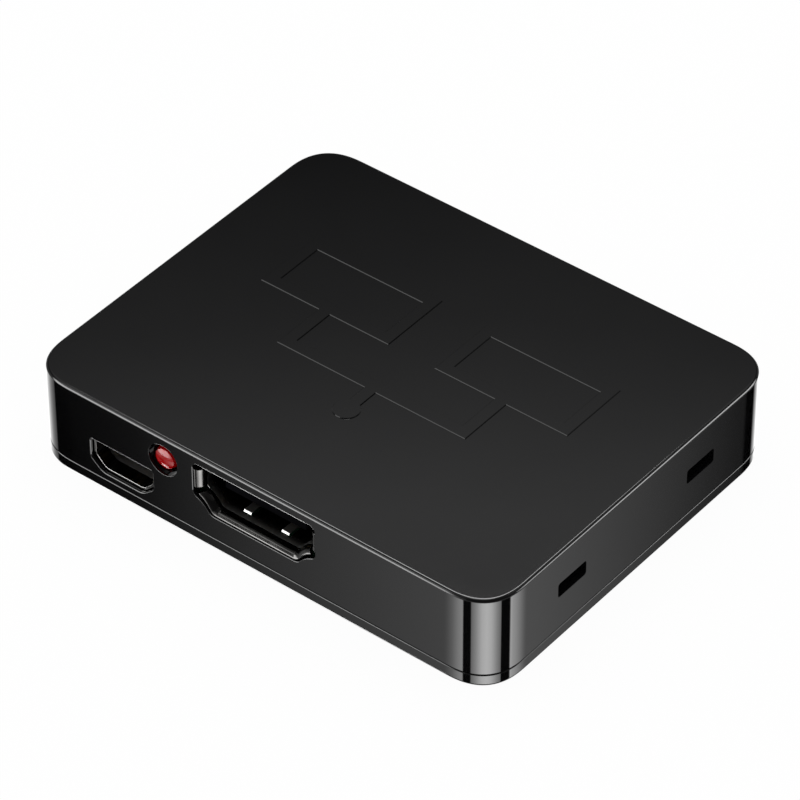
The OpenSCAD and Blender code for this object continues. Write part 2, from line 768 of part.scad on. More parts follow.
module splitter_chip() {
    dot_r = chip_side / 20;
    on_board(chip_at) difference() {
        chip_body([chip_side, chip_side, chip_h]);
        translate([dot_r * 3 - chip_side / 2, chip_side / 2 - dot_r * 3, pad_gap + chip_h - dot_r / 3])
            cylinder(r = dot_r, h = cut);
    }
}

module splitter_chip_leads() {
    color([0.75, 0.75, 0.75]) on_board(chip_at) for (turn = [0 : 90 : 270]) rotate([0, 0, turn])
        translate([chip_side / 2, 0, 0])
            lead_row(chip_leads, chip_lead_pitch, chip_lead_pitch * 0.45, pad_gap + chip_h / 2, 0.5, 0.5);
}

module memory_chip() { on_board(memory_at) chip_body(memory_size); }

module memory_chip_leads() {
    color([0.75, 0.75, 0.75]) on_board(memory_at) for (turn = [0, 180]) rotate([0, 0, turn])
        translate([memory_size[0] / 2, 0, 0])
            lead_row(4, memory_size[1] / 4, 0.4, pad_gap + memory_size[2] / 2, 0.5, 0.5);
}

module regulator() { on_board(regulator_at) chip_body(regulator_size); }

module regulator_leads() {
    height = pad_gap + regulator_size[2] / 2;
    color([0.75, 0.75, 0.75]) on_board(regulator_at) {
        translate([regulator_size[0] / 2, 0, 0]) lead_row(3, regulator_size[1] / 3, 0.7, height, 0.6, 0.8);
        rotate([0, 0, 180]) translate([regulator_size[0] / 2, 0, 0])
            gull_lead(regulator_size[1] / 2, height, 0.6, 0.8);
    }
}

// Outline with round ends that runs along Y
module long_round(w, l, h) {
    cube_l = l - w;
    translate([-w / 2, -cube_l / 2, 0]) cube([w, cube_l, h]);
    for (side = [0, 180]) rotate([0, 0, side]) translate([0, cube_l / 2, 0])
        rotate_extrude(angle = 180) square([w / 2, h]);
}

module crystal() {
    color([0.72, 0.72, 0.74]) on_board(crystal_at) translate([0, 0, can_base_h])
        long_round(crystal_size[0] - 2 * sheet, crystal_size[1] - 2 * sheet, crystal_size[2]);
}

module crystal_base() {
    black_color() on_board(crystal_at) long_round(crystal_size[0], crystal_size[1], can_base_h);
}

module inductor() {
    color([0.25, 0.25, 0.26]) on_board(inductor_at)
        translate([-inductor_size[0] / 2, -inductor_size[1] / 2, 0]) difference() {
            cube(inductor_size);
            translate([inductor_size[0] / 2, inductor_size[1] / 2, inductor_size[2] - lead_t])
                cylinder(r = inductor_size[0] / 3, h = cut);
        }
}

module filter_capacitors() {
    color([0.8, 0.8, 0.82]) for (p = can_places)
        on_board([p[0], p[1], can_base_h]) cylinder(r = can_r, h = can_h);
}

module filter_capacitor_bases() {
    side = 2 * (can_r + pad_gap);
    black_color() for (p = can_places) on_board([p[0], p[1], can_base_h / 2])
        cube([side, side, can_base_h], center = true);
}

// Small oblong parts in rows: across one row, and from row to row
small_w = small_l / 2;
small_h = small_l / 3;

module small_part(along_x) {
    l = along_x ? small_l : small_w;
    w = along_x ? small_w : small_l;
    translate([-l / 2, -w / 2, 0]) cube([l, w, small_h]);
}

module chip_capacitors() {
    row_x = chip_side / 2 + 2 * small_l;
    color([0.6, 0.48, 0.34]) on_board(chip_at) for (sx = [-1, 1], i = [-1.5 : 1.5])
        translate([sx * row_x, i * 2 * small_l, 0]) small_part(true);
}

module chip_resistors() {
    row_x = chip_side / 2 + 3.6 * small_l;
    color([0.08, 0.08, 0.09]) on_board(chip_at) for (sx = [-1, 1], i = [-1 : 1])
        translate([sx * row_x, i * 2 * small_l, 0]) small_part(true);
}

array_size = [2.5, 1, 0.5];
array_gap = 0.3;

// Two arrays close behind the contacts of each video socket
module surge_arrays() {
    black_color() for (place = video_places) at_video(place) for (sx = [-1, 1])
        translate([sx * throat_w / 5 - array_size[0] / 2, tail_y + foot_l + array_gap, board_top - video_z])
            cube(array_size);
}

top_case();
bottom_cover();
case_screws();
circuit_board();
board_screws();
indicator_lens();
indicator_diode();
indicator_leads();
power_shell();
power_tongue();
power_contacts();
video_in_shell();
video_in_springs();
video_in_tongue();
video_in_contacts();
video_out_a_shell();
video_out_a_springs();
video_out_a_tongue();
video_out_a_contacts();
video_out_b_shell();
video_out_b_springs();
video_out_b_tongue();
video_out_b_contacts();
splitter_chip();
splitter_chip_leads();
memory_chip();
memory_chip_leads();
regulator();
regulator_leads();
crystal();
crystal_base();
inductor();
filter_capacitors();
filter_capacitor_bases();
chip_capacitors();
chip_resistors();
surge_arrays();
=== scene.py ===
# %% [markdown]
# # A small glossy video splitter, dressed for its portrait
# The CAD model already holds every piece of the box at its true size. In this lesson the pieces that
# show are modelled again by hand in Blender, with the soft edges that make moulded plastic and pressed
# steel look real. The rest of the CAD model stays as it is and gets its finishes.

# %% Load the CAD model
import json
import math

import bmesh
import bpy
from mathutils import Matrix, Vector


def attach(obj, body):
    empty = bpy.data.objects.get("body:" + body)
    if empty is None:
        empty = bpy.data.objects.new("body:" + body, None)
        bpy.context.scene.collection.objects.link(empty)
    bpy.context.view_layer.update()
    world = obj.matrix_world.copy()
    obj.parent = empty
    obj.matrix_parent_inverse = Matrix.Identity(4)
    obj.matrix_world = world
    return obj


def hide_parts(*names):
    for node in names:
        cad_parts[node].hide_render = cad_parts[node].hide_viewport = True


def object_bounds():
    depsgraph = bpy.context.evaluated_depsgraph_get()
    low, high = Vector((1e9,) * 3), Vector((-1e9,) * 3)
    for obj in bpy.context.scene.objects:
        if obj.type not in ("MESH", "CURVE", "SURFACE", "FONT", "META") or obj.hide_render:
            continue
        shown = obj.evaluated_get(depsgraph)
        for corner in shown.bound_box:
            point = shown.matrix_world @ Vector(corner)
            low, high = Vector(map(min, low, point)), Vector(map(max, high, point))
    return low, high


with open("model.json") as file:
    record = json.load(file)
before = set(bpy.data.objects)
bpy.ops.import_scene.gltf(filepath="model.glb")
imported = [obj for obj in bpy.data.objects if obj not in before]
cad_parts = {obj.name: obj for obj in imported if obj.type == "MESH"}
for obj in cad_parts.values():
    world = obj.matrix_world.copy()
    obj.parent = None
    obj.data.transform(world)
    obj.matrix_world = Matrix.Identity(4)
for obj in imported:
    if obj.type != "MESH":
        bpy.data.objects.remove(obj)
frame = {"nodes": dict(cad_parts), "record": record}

MM = 0.001
cad_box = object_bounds()
print("CAD box in mm:", [[round(c / MM, 2) for c in corner] for corner in cad_box])

# %% [markdown]
# ## The camera
# A camera can be placed by eye, but here it was fitted to the outline of the box in the photograph, so
# that every edge lands where it should. It stands half a metre away with a long lens, which keeps
# parallel edges nearly parallel.

# %% Camera
CAMERA_PLACE = (0.24196, -0.30261, 0.33890)
AZIMUTH, ELEVATION, ROLL = (math.radians(a) for a in (38.678, 40.605, -0.205))
SENSOR_W, FOCAL_LENGTH = 36, 223.495

back = Vector((math.sin(AZIMUTH) * math.cos(ELEVATION), -math.cos(AZIMUTH) * math.cos(ELEVATION),
               math.sin(ELEVATION)))
level = Vector((math.cos(AZIMUTH), math.sin(AZIMUTH), 0))
upright = back.cross(level)
right = math.cos(ROLL) * level + math.sin(ROLL) * upright
up = math.cos(ROLL) * upright - math.sin(ROLL) * level

lens = bpy.data.cameras.new("photo_camera")
lens.sensor_width, lens.lens = SENSOR_W, FOCAL_LENGTH
camera = bpy.data.objects.new("photo_camera", lens)
bpy.context.scene.collection.objects.link(camera)
turn_and_place = [(right[i], up[i], back[i], CAMERA_PLACE[i]) for i in range(3)]
camera.matrix_world = Matrix(turn_and_place + [(0, 0, 0, 1)])
bpy.context.scene.camera = camera
print("camera lens in mm:", lens.lens)

# %% [markdown]
# ## A few tools of our own
# Modelling by hand is a short list of moves: add a block, pick some edges or faces, bevel, extrude,
# carve. Each move gets a small function, so that the pieces below read like a recipe. All their sizes
# are in millimetres.


# %% Adding blocks and rods
def start_clean():
    """Leaves edit mode and deselects everything, so that an operator acts on one piece alone."""
    if bpy.context.mode != "OBJECT":
        bpy.ops.object.mode_set(mode="OBJECT")
    bpy.ops.object.select_all(action="DESELECT")


def take_up(piece):
    """Makes a piece the only one selected."""
    start_clean()
    piece.select_set(True)
    bpy.context.view_layer.objects.active = piece
    return piece


def block(name, low, high):
    """A box between two corners."""
    start_clean()
    bpy.ops.mesh.primitive_cube_add(size=1, location=[(a + b) / 2 * MM for a, b in zip(low, high)])
    piece = bpy.context.object
    piece.name = piece.data.name = name
    piece.scale = [(b - a) * MM for a, b in zip(low, high)]
    bpy.ops.object.transform_apply(location=True, rotation=True, scale=True)
    return piece


def rod(name, radius, low, high, along="Z", sides=64):
    """A round bar between two points on one axis."""
    start_clean()
    middle = [(a + b) / 2 * MM for a, b in zip(low, high)]
    turn = {"Z": (0, 0, 0), "Y": (math.pi / 2, 0, 0)}[along]
    length = (Vector(high) - Vector(low)).length * MM
    bpy.ops.mesh.primitive_cylinder_add(
        vertices=sides, radius=radius * MM, depth=length, location=middle, rotation=turn)
    piece = bpy.context.object
    piece.name = piece.data.name = name
    bpy.ops.object.transform_apply(location=True, rotation=True, scale=True)
    return piece


# %% Picking, rounding and carving
MOSTLY, WHOLLY = 0.9, 0.999


def pick(piece, kind, test):
    """Opens a piece in edit mode and selects the edges or faces that pass a test.

    The test gets the middle of an edge or face, and the edge's direction or the face's normal."""
    take_up(piece)
    bpy.ops.object.mode_set(mode="EDIT")
    bpy.ops.mesh.select_mode(type=kind)
    bpy.ops.mesh.select_all(action="DESELECT")
    mesh = bmesh.from_edit_mesh(piece.data)
    if kind == "EDGE":
        for edge in mesh.edges:
            a, b = (v.co / MM for v in edge.verts)
            edge.select_set(test((a + b) / 2, (b - a).normalized()))
    else:
        for face in mesh.faces:
            face.select_set(test(face.calc_center_median() / MM, face.normal))
    bmesh.update_edit_mesh(piece.data)


def near(a, b, reach=0.02):
    return abs(a - b) < reach


def bevel(width, segments=4, profile=0.5):
    bpy.ops.mesh.bevel(offset=width * MM, segments=segments, profile=profile, affect="EDGES")


def extrude(x=0, y=0, z=0):
    bpy.ops.mesh.extrude_region_move(TRANSFORM_OT_translate={"value": (x * MM, y * MM, z * MM)})


def inset(width):
    bpy.ops.mesh.inset(thickness=width * MM, use_even_offset=True)


def carve(piece, tool, operation="DIFFERENCE"):
    """Cuts a tool's shape out of a piece, or adds it, and throws the tool away."""
    take_up(piece)
    change = piece.modifiers.new("carve", "BOOLEAN")
    change.object, change.operation, change.solver = tool, operation, "EXACT"
    bpy.ops.object.modifier_apply(modifier=change.name)
    bpy.data.objects.remove(tool, do_unlink=True)


ABOUT_A_THOUSAND, MERGE = 1024, 0.001
SMOOTH_BELOW, BY_AREA = 40, 100


def rescale(factor):
    """Resizes the piece in hand and makes that its true size."""
    bpy.context.object.scale = (factor, factor, factor)
    bpy.ops.object.transform_apply(location=False, rotation=False, scale=True)


def shade(piece):
    """Shades curves smooth, keeps sharp edges sharp and flats flat.

    The normals are weighed at about a thousand times the size, because the modifier takes very small
    faces as equal. A power of two keeps every number exact."""
    take_up(piece)
    bpy.ops.mesh.customdata_custom_splitnormals_clear()
    bpy.ops.object.shade_smooth_by_angle(angle=math.radians(SMOOTH_BELOW))
    rescale(ABOUT_A_THOUSAND)
    normals = piece.modifiers.new("flat_flats", "WEIGHTED_NORMAL")
    normals.keep_sharp, normals.weight = True, BY_AREA
    bpy.ops.object.modifier_apply(modifier=normals.name)
    rescale(1 / ABOUT_A_THOUSAND)
    print(piece.name, "has", len(piece.data.polygons), "faces")


def soften(piece, width, segments=2, angle=32):
    """Gives every sharp edge a fine round."""
    take_up(piece)
    bpy.ops.object.mode_set(mode="EDIT")
    bpy.ops.mesh.select_all(action="SELECT")
    bpy.ops.mesh.remove_doubles(threshold=MERGE * MM)
    bpy.ops.object.mode_set(mode="OBJECT")
    edges = piece.modifiers.new("soft_edges", "BEVEL")
    edges.width, edges.segments = width * MM, segments
    edges.limit_method, edges.angle_limit = "ANGLE", math.radians(angle)
    edges.use_clamp_overlap = False
    edges.miter_outer = "MITER_ARC"
    bpy.ops.object.modifier_apply(modifier=edges.name)
    shade(piece)


# %% [markdown]
# ## Port outlines
# A video port is a flat slot whose lower corners step in. It could be drawn as a curve, but it is
# quicker to start from a block, pull its floor down twice while narrowing it, and round the long edges.
# The same solid serves as a cutter for the window in the case and as the start of the pressed steel
# shell.


# %% Solid with a port's outline
def port_solid(name, x, z, outline, y_near, y_far, segments=5):
    """A bar along Y with a port's outline.

    The outline lists half width, height and corner radius, from the top corner down to the floor."""
    (half, top, round_top), (_, low, round_low), *steps = outline
    piece = block(name, (x - half, y_near, z + low), (x + half, y_far, z + top))
    corners = [(half, top, round_top), (half, low, round_low)]
    for step_half, step_low, step_round in steps:
        pick(piece, "FACE", lambda at, out: out.z < -MOSTLY)
        extrude(z=step_low - low)
        middle = (x * MM, (y_near + y_far) / 2 * MM, (z + step_low) * MM)
        bpy.ops.transform.resize(value=(step_half / half, 1, 1), center_override=middle)
        half, low = step_half, step_low
        corners.append((step_half, step_low, step_round))
    for corner_half, corner_z, corner_round in corners:
        pick(piece, "EDGE", lambda at, along: abs(along.y) > MOSTLY
             and near(abs(at.x - x), corner_half) and near(at.z - z, corner_z))
        bevel(corner_round, segments)
    start_clean()
    return piece


HALF_W, HALF_D, RELIEF_Z = (round(c / MM, 3) for c in cad_box[1])
VIDEO_Z, POWER_X, POWER_Z = 7.395, -17.5, 4.28
OUTPUT_X = 14.57
MOUTH_RECESS = 0.43
FACE_Y = -HALF_D
MOUTH_Y = FACE_Y + MOUTH_RECESS
VIDEO_WINDOW = [(7.93, 2.955, 0.7), (7.93, -1.145, 0.5), (6.65, -1.775, 0.5), (5.6, -2.955, 0.45)]
POWER_WINDOW = [(4.2, 1.9, 0.35), (4.2, -0.6, 0.3), (2.65, -1.9, 0.5)]
print("windows in mm:", [(2 * half, 2 * top) for (half, top, _), *_ in (VIDEO_WINDOW, POWER_WINDOW)])

# %% [markdown]
# ## The top case
# On the real box the roof and the four walls are one moulding of glossy black plastic. A block gets
# round corners, a fine round along the roof, and is then hollowed from below with an inset and an
# extrude, as a moulder would core it out. Windows, vents and the lens seat are carved with cutters, and
# the screw posts are added inside.

# %% Body of the top case
CORNER, CORNER_PROFILE, CORNER_STEPS = 5.8, 0.5815, 48
ROOF_ROUND, ROOF_STEPS = 0.36, 10
SEAM_Z, CEILING_Z, ROOF_Z = 1.7, 10.55, 11.55
WALL, TRIM = 1.5, 0.3
BEYOND = 1


def round_corners(piece):
    pick(piece, "EDGE", lambda at, along: abs(along.z) > MOSTLY)
    bevel(CORNER, CORNER_STEPS, CORNER_PROFILE)


case_top = block("case_top", (-HALF_W, -HALF_D, SEAM_Z - TRIM), (HALF_W, HALF_D, ROOF_Z))
round_corners(case_top)
pick(case_top, "EDGE", lambda at, along: near(at.z, ROOF_Z))
bevel(ROOF_ROUND, ROOF_STEPS)
pick(case_top, "FACE", lambda at, out: out.z < -MOSTLY)
inset(WALL)
extrude(z=CEILING_Z - SEAM_Z + TRIM)
start_clean()
print("case_top walls:", WALL, "mm thick, roof:", ROOF_Z - CEILING_Z, "mm")

# %% Thin walls and windows of the ports
WINDOW_WALL, ROOM, PAST = 0.35, 0.3, 0.6
VIDEO_ROUND, POWER_ROUND, PICK_ROOM = 0.1, 0.14, 0.1
PORTS = [(0, -1), (-OUTPUT_X, 1), (OUTPUT_X, 1)]


def wall_pocket(x, half, top_z, side):
    """Thins the wall behind a window from inside, open at the foot, so that the case can lift off."""
    ends = sorted((side * (HALF_D - WINDOW_WALL), side * (HALF_D - WALL - PAST)))
    carve(case_top, block("pocket", (x - half - ROOM, ends[0], SEAM_Z - BEYOND),
                                   (x + half + ROOM, ends[1], top_z)))


def round_window(x, z, outline, side, width):
    """Rounds the outer edge of a window."""
    half, top, _ = outline[0]
    pick(case_top, "EDGE", lambda at, along: near(at.y, side * HALF_D)
         and abs(at.x - x) < half + PICK_ROOM and abs(at.z - z) < top + PICK_ROOM)
    bevel(width)


for x, side in PORTS:
    wall_pocket(x, VIDEO_WINDOW[0][0], CEILING_Z, side)
    ends = sorted((side * (HALF_D + BEYOND), side * (HALF_D - WALL)))
    carve(case_top, port_solid("window", x, VIDEO_Z, VIDEO_WINDOW, *ends))
    round_window(x, VIDEO_Z, VIDEO_WINDOW, side, VIDEO_ROUND)
wall_pocket(POWER_X, POWER_WINDOW[0][0], POWER_Z + POWER_WINDOW[0][1] + ROOM, -1)
carve(case_top, port_solid("window", POWER_X, POWER_Z, POWER_WINDOW, FACE_Y - BEYOND, FACE_Y + WALL))
round_window(POWER_X, POWER_Z, POWER_WINDOW, -1, POWER_ROUND)
start_clean()
print("windows:", len(PORTS) + 1)

# %% Screw posts inside the roof
POST_R, POST_OUT = 2.5, 1.1
POST_X, POST_Y = HALF_W - CORNER + POST_OUT, HALF_D - CORNER + POST_OUT
POST_FOOT, BORE_R, BORE_FOOT, BORE_TOP = 3.12, 1.05, 2, 8.45
CASE_SOFT = 0.07


def upright_rod(name, radius, at, foot, top):
    return rod(name, radius, (*at, foot), (*at, top))


for side_x in (-1, 1):
    for side_y in (-1, 1):
        at = (side_x * POST_X, side_y * POST_Y)
        carve(case_top, upright_rod("post", POST_R, at, POST_FOOT, (CEILING_Z + ROOF_Z) / 2), "UNION")
        carve(case_top, upright_rod("bore", BORE_R, at, BORE_FOOT, BORE_TOP))
soften(case_top, CASE_SOFT)
carve(case_top, block("trim", (-HALF_W - BEYOND, -HALF_D - BEYOND, SEAM_Z - BEYOND),
                      (HALF_W + BEYOND, HALF_D + BEYOND, SEAM_Z)))

# %% Vents
VENT_Y, VENT_Z, VENT_L, VENT_H, VENT_ROUND = 10.75, 6.67, 4.6, 1.8, 0.3

for side_x in (-1, 1):
    for side_y in (-1, 1):
        ends = sorted((side_x * (HALF_W + BEYOND), side_x * (HALF_W - WALL - PAST)))
        vent = block("vent", (ends[0], side_y * VENT_Y - VENT_L / 2, VENT_Z - VENT_H / 2),
                     (ends[1], side_y * VENT_Y + VENT_L / 2, VENT_Z + VENT_H / 2))
        pick(vent, "EDGE", lambda at, along: abs(along.x) > MOSTLY)
        bevel(VENT_ROUND)
        carve(case_top, vent)
print("vents:", VENT_L, "by", VENT_H, "mm")

# %% Seat of the lens
LENS_X, LENS_Z, LENS_R, LENS_GAP = -11.83, 8.5, 1.65, 0.02
RECESS, SEAT_DEPTH, SEAT_ROUND = 0.25, 0.5, 0.06
SEAT_Y = FACE_Y + SEAT_DEPTH


def lens_cutter(name, radius, depth):
    return rod(name, radius, (LENS_X, FACE_Y - BEYOND, LENS_Z), (LENS_X, FACE_Y + depth, LENS_Z), "Y")


carve(case_top, lens_cutter("seat", LENS_R + RECESS, SEAT_DEPTH))
carve(case_top, lens_cutter("hole", LENS_R + LENS_GAP, WALL + BEYOND))
pick(case_top, "EDGE", lambda at, along: near(at.y, FACE_Y)
     and near(math.hypot(at.x - LENS_X, at.z - LENS_Z), LENS_R + RECESS))
bevel(SEAT_ROUND, segments=2)
shade(case_top)

# %% [markdown]
# ## The diagram on the roof
# The roof carries a fine relief. Here it is a plain drawing of what the box does: one line comes in,
# splits and ends at two screens. It stands a tenth of a millimetre proud, so only its edges catch the
# light. Its parts are blocks joined by union, and the frames of the screens are carved out. An inset
# that also rises then slopes every edge.

# %% Raised diagram
SLOPE, SINK, LINE, SCREEN_W, SCREEN_D = 0.07, 0.05, 1.5, 17, 9
SCREEN_X, SCREEN_Y, SPLIT_Y = 11.5, 6, -4.5
RELIEF_LOW, RELIEF_HIGH = ROOF_Z - SINK, RELIEF_Z - SLOPE


def relief(name, x, y, width, depth):
    return block(name, (x - width / 2, y - depth / 2, RELIEF_LOW),
                 (x + width / 2, y + depth / 2, RELIEF_HIGH))


roof_diagram = relief("roof_diagram", 0, SPLIT_Y, 2 * SCREEN_X + LINE, LINE)
for side_x in (-1, 1):
    screen = relief("screen", side_x * SCREEN_X, SCREEN_Y, SCREEN_W, SCREEN_D)
    left, front = side_x * SCREEN_X - SCREEN_W / 2, SCREEN_Y - SCREEN_D / 2
    carve(screen, block("hole", (left + LINE, front + LINE, ROOF_Z - BEYOND),
                        (left + SCREEN_W - LINE, front + SCREEN_D - LINE, RELIEF_Z + BEYOND)))
    carve(roof_diagram, screen, "UNION")
    branch_end = front + LINE / 2
    carve(roof_diagram, relief("branch", side_x * SCREEN_X, (SPLIT_Y + branch_end) / 2, LINE,
                               branch_end - SPLIT_Y), "UNION")
carve(roof_diagram, relief("trunk", 0, SPLIT_Y - SCREEN_D / 4, LINE, SCREEN_D / 2), "UNION")
dot_y = SPLIT_Y - SCREEN_D / 2
carve(roof_diagram, rod("dot", LINE, (0, dot_y, RELIEF_LOW), (0, dot_y, RELIEF_HIGH), sides=48), "UNION")
pick(roof_diagram, "FACE", lambda at, out: True)
bpy.ops.mesh.remove_doubles(threshold=10 * MERGE * MM)
bpy.ops.mesh.dissolve_limited(angle_limit=math.radians(1))
pick(roof_diagram, "FACE", lambda at, out: out.z > MOSTLY)
bpy.ops.mesh.inset(thickness=SLOPE * MM, depth=SLOPE * MM, use_even_offset=True)
shade(roof_diagram)

# %% [markdown]
# ## The bottom cover
# The cover is a shallow tray: a band below the seam, a fine groove that marks the seam, and a rib that
# stands inside the walls. All of it comes from one block by inset and extrude. Bosses carry the board,
# and four sunk holes take the case screws from below.

# %% Tray, groove and rib
GROOVE, SEAM_ROUND, FOOT_ROUND = 0.15, 0.11, 0.4
RIB_H, RIB_T, RIB_GAP, FLOOR_T = 0.7, 1, 0.2, 1.2

case_base = block("case_base", (-HALF_W, -HALF_D, 0), (HALF_W, HALF_D, SEAM_Z - GROOVE))
round_corners(case_base)
pick(case_base, "EDGE", lambda at, along: near(at.z, 0))
bevel(FOOT_ROUND)
pick(case_base, "EDGE", lambda at, along: near(at.z, SEAM_Z - GROOVE))
bevel(SEAM_ROUND)
pick(case_base, "FACE", lambda at, out: out.z > WHOLLY)
inset(GROOVE - SEAM_ROUND)
extrude(z=GROOVE)
inset(WALL + RIB_GAP - GROOVE)
extrude(z=RIB_H)
inset(RIB_T)
extrude(z=FLOOR_T - SEAM_Z - RIB_H)
start_clean()
gap_half = POWER_WINDOW[0][0] + ROOM
carve(case_base, block("gap", (POWER_X - gap_half, FACE_Y + WALL, SEAM_Z),
                       (POWER_X + gap_half, FACE_Y + 2 * WALL + RIB_T, SEAM_Z + RIB_H + BEYOND)))
print("tray:", FLOOR_T, "mm floor, rib", RIB_H, "mm above the seam")

# %% Bosses and sunk holes
BOARD_Z, BOARD_TOP = 3.22, 4.82
BOARD_SCREW_X, STUD_Y, STUD_R = 25, 10.9375, 1.25
BOSS_FOOT, POST_GAP, HOLE_R, SINK_R, SINK_TOP = FLOOR_T / 2, 0.2, 1.2, 2, 1.25
BASE_SOFT = 0.04

for side in (-1, 1):
    at = (side * BOARD_SCREW_X, 0)
    carve(case_base, upright_rod("boss", POST_R, at, BOSS_FOOT, BOARD_Z), "UNION")
    carve(case_base, upright_rod("bore", BORE_R, at, FLOOR_T, BOARD_Z + BEYOND))
    carve(case_base, upright_rod("stud", STUD_R, (0, side * STUD_Y), BOSS_FOOT, BOARD_Z), "UNION")
    for side_y in (-1, 1):
        at = (side * POST_X, side_y * POST_Y)
        carve(case_base, upright_rod("boss", POST_R, at, BOSS_FOOT, BOARD_Z - POST_GAP), "UNION")
        carve(case_base, upright_rod("hole", HOLE_R, at, -BEYOND, BOARD_Z + BEYOND))
        carve(case_base, upright_rod("sink", SINK_R, at, -BEYOND, SINK_TOP))
soften(case_base, BASE_SOFT)

# %% [markdown]
# ## The steel shells of the video sockets
# A socket's shell is folded from thin steel, and its mouth is flared outwards so that a plug finds its
# way. The tube comes from the port solid with its two ends removed. The top and the sides of the mouth
# are pulled forwards and outwards in a few short extrudes, which leaves them separate at the corners,
# as the folded sheet is. The floor and the slanted corners flare as one, so there each extrude is
# resized about the middle of the port. Solidify gives the sheet its thickness.

# %% Shell of the video input
SHEET, LIP_L, SOCKET_L = 0.3, 0.8, 11.5
SHELL_W, SHELL_H, SHELL_FLOOR = 7.3, 2.575, 5.15
SHELL = [(SHELL_W, SHELL_H, 0.6), (SHELL_W, -0.7, 0.5), (6.1, -1.34, 0.45), (SHELL_FLOOR, -SHELL_H, 0.45)]
SIDE_LIP, TOP_LIP, LOWER_LIP_Z = 0.63, 0.38, -0.96
SHELL_SOFT = 0.06
LIP_TURNS = [math.radians(turn) for turn in range(15, 91, 15)]
LIP_STEPS = [(math.sin(turn), 1 - math.cos(turn)) for turn in LIP_TURNS]


def pick_mouth(piece, test):
    pick(piece, "EDGE", lambda at, along: near(at.y, MOUTH_Y + LIP_L)
         and test(at.x, at.z - VIDEO_Z, along))


def pull_lip(out_x, out_z):
    """Pulls the picked edges of the mouth into a lip that curves outwards."""
    forward = outward = 0
    for step_forward, step_out in LIP_STEPS:
        gain = step_out - outward
        extrude(gain * out_x, -(step_forward - forward) * LIP_L, gain * out_z)
        forward, outward = step_forward, step_out


def widen_lip(share_x, share_z):
    """Pulls the picked edges forwards and spreads them about the middle of the port."""
    forward = outward = 0
    for step_forward, step_out in LIP_STEPS:
        extrude(y=-(step_forward - forward) * LIP_L)
        spread = [(1 + step_out * share) / (1 + outward * share) for share in (share_x, share_z)]
        bpy.ops.transform.resize(
            value=(spread[0], 1, spread[1]), center_override=(0, MOUTH_Y * MM, VIDEO_Z * MM))
        forward, outward = step_forward, step_out


def sheet_metal(piece, thickness):
    take_up(piece)
    wall = piece.modifiers.new("sheet", "SOLIDIFY")
    wall.thickness, wall.offset, wall.use_even_offset = thickness * MM, -1, True
    bpy.ops.object.modifier_apply(modifier=wall.name)


def open_ends(piece):
    pick(piece, "FACE", lambda at, out: abs(out.y) > MOSTLY)
    bpy.ops.mesh.delete(type="FACE")


shell = port_solid("input_shell", 0, VIDEO_Z, SHELL, MOUTH_Y + LIP_L, MOUTH_Y + SOCKET_L, segments=4)
open_ends(shell)
pick_mouth(shell, lambda x, z, along: near(z, SHELL_H) and abs(along.x) > MOSTLY)
pull_lip(0, TOP_LIP)
for side in (-1, 1):
    pick_mouth(shell, lambda x, z, along: near(x, side * SHELL_W) and abs(along.z) > MOSTLY)
    pull_lip(side * SIDE_LIP, 0)
pick_mouth(shell, lambda x, z, along: z < LOWER_LIP_Z)
widen_lip(TOP_LIP / SHELL_FLOOR, TOP_LIP / SHELL_H)
sheet_metal(shell, SHEET)
print("shell of", SHEET, "mm sheet,", SOCKET_L, "mm long")

# %% Slots and legs of the shell
SPRING_X, SPRING_HALF, SPRING_TIP, SPRING_ROOT = 2.47, 0.5, 1.55, 6.5
SLOT_GAP, ROOT_GAP = 0.12, 0.03
LEG_PLACES, LEG_HALF, LEG_BELOW, LEG_DROP = (3, 8.6), 0.55, 0.6, 0.4
slot_half, floor_foot = SPRING_HALF + SLOT_GAP, VIDEO_Z - SHELL_H

for side in (-1, 1):
    middle = side * SPRING_X
    carve(shell, block("slot", (middle - slot_half, MOUTH_Y + SPRING_TIP - SLOT_GAP, floor_foot - SHEET),
                       (middle + slot_half, MOUTH_Y + SPRING_ROOT + ROOT_GAP, floor_foot + 2 * SHEET)))
    leg_ends = sorted((side * SHELL_W, side * (SHELL_W - SHEET)))
    for leg_y in LEG_PLACES:
        leg = block("leg", (leg_ends[0], MOUTH_Y + leg_y - LEG_HALF, BOARD_Z - LEG_BELOW),
                    (leg_ends[1], MOUTH_Y + leg_y + LEG_HALF, VIDEO_Z - LEG_DROP))
        carve(shell, leg, "UNION")
soften(shell, SHELL_SOFT)

# %% [markdown]
# ## The retention springs
# Two narrow tongues rise out of the socket's floor and hold the plug. Each is one strip, extruded step
# by step along its bend, with the tip turned down so that the plug slides over it. The tips are the two
# bright spots in the port.

# %% Springs of the video input
SPRING_T, SPRING_BEND, SPRING_SOFT = 0.12, 6.2, 0.02
SPRING_PATH = [(5.6, 0.01), (4.7, 0.07), (3.8, 0.14), (2.9, 0.21), (2.35, 0.25), (2, 0.27), (1.75, 0.27),
               (1.65, 0.24), (SPRING_TIP, 0.1)]


def spring_strip(side):
    floor_z = VIDEO_Z - SHELL_H + SHEET
    strip = block("strip", (side * SPRING_X - SPRING_HALF, MOUTH_Y + SPRING_BEND, floor_z - SPRING_T),
                  (side * SPRING_X + SPRING_HALF, MOUTH_Y + SPRING_ROOT, floor_z))
    pick(strip, "FACE", lambda at, out: out.y < -MOSTLY)
    y, z = SPRING_BEND, 0
    for next_y, next_z in SPRING_PATH:
        extrude(0, next_y - y, next_z - z)
        y, z = next_y, next_z
    start_clean()
    return strip


springs = spring_strip(-1)
springs.name = springs.data.name = "input_springs"
carve(springs, spring_strip(1), "UNION")
soften(springs, SPRING_SOFT, angle=50)

# %% [markdown]
# ## The two outputs
# The sockets on the back are the same parts turned round. They are modelled once, and copies with
# meshes of their own are turned about the upright axis and moved along the wall.


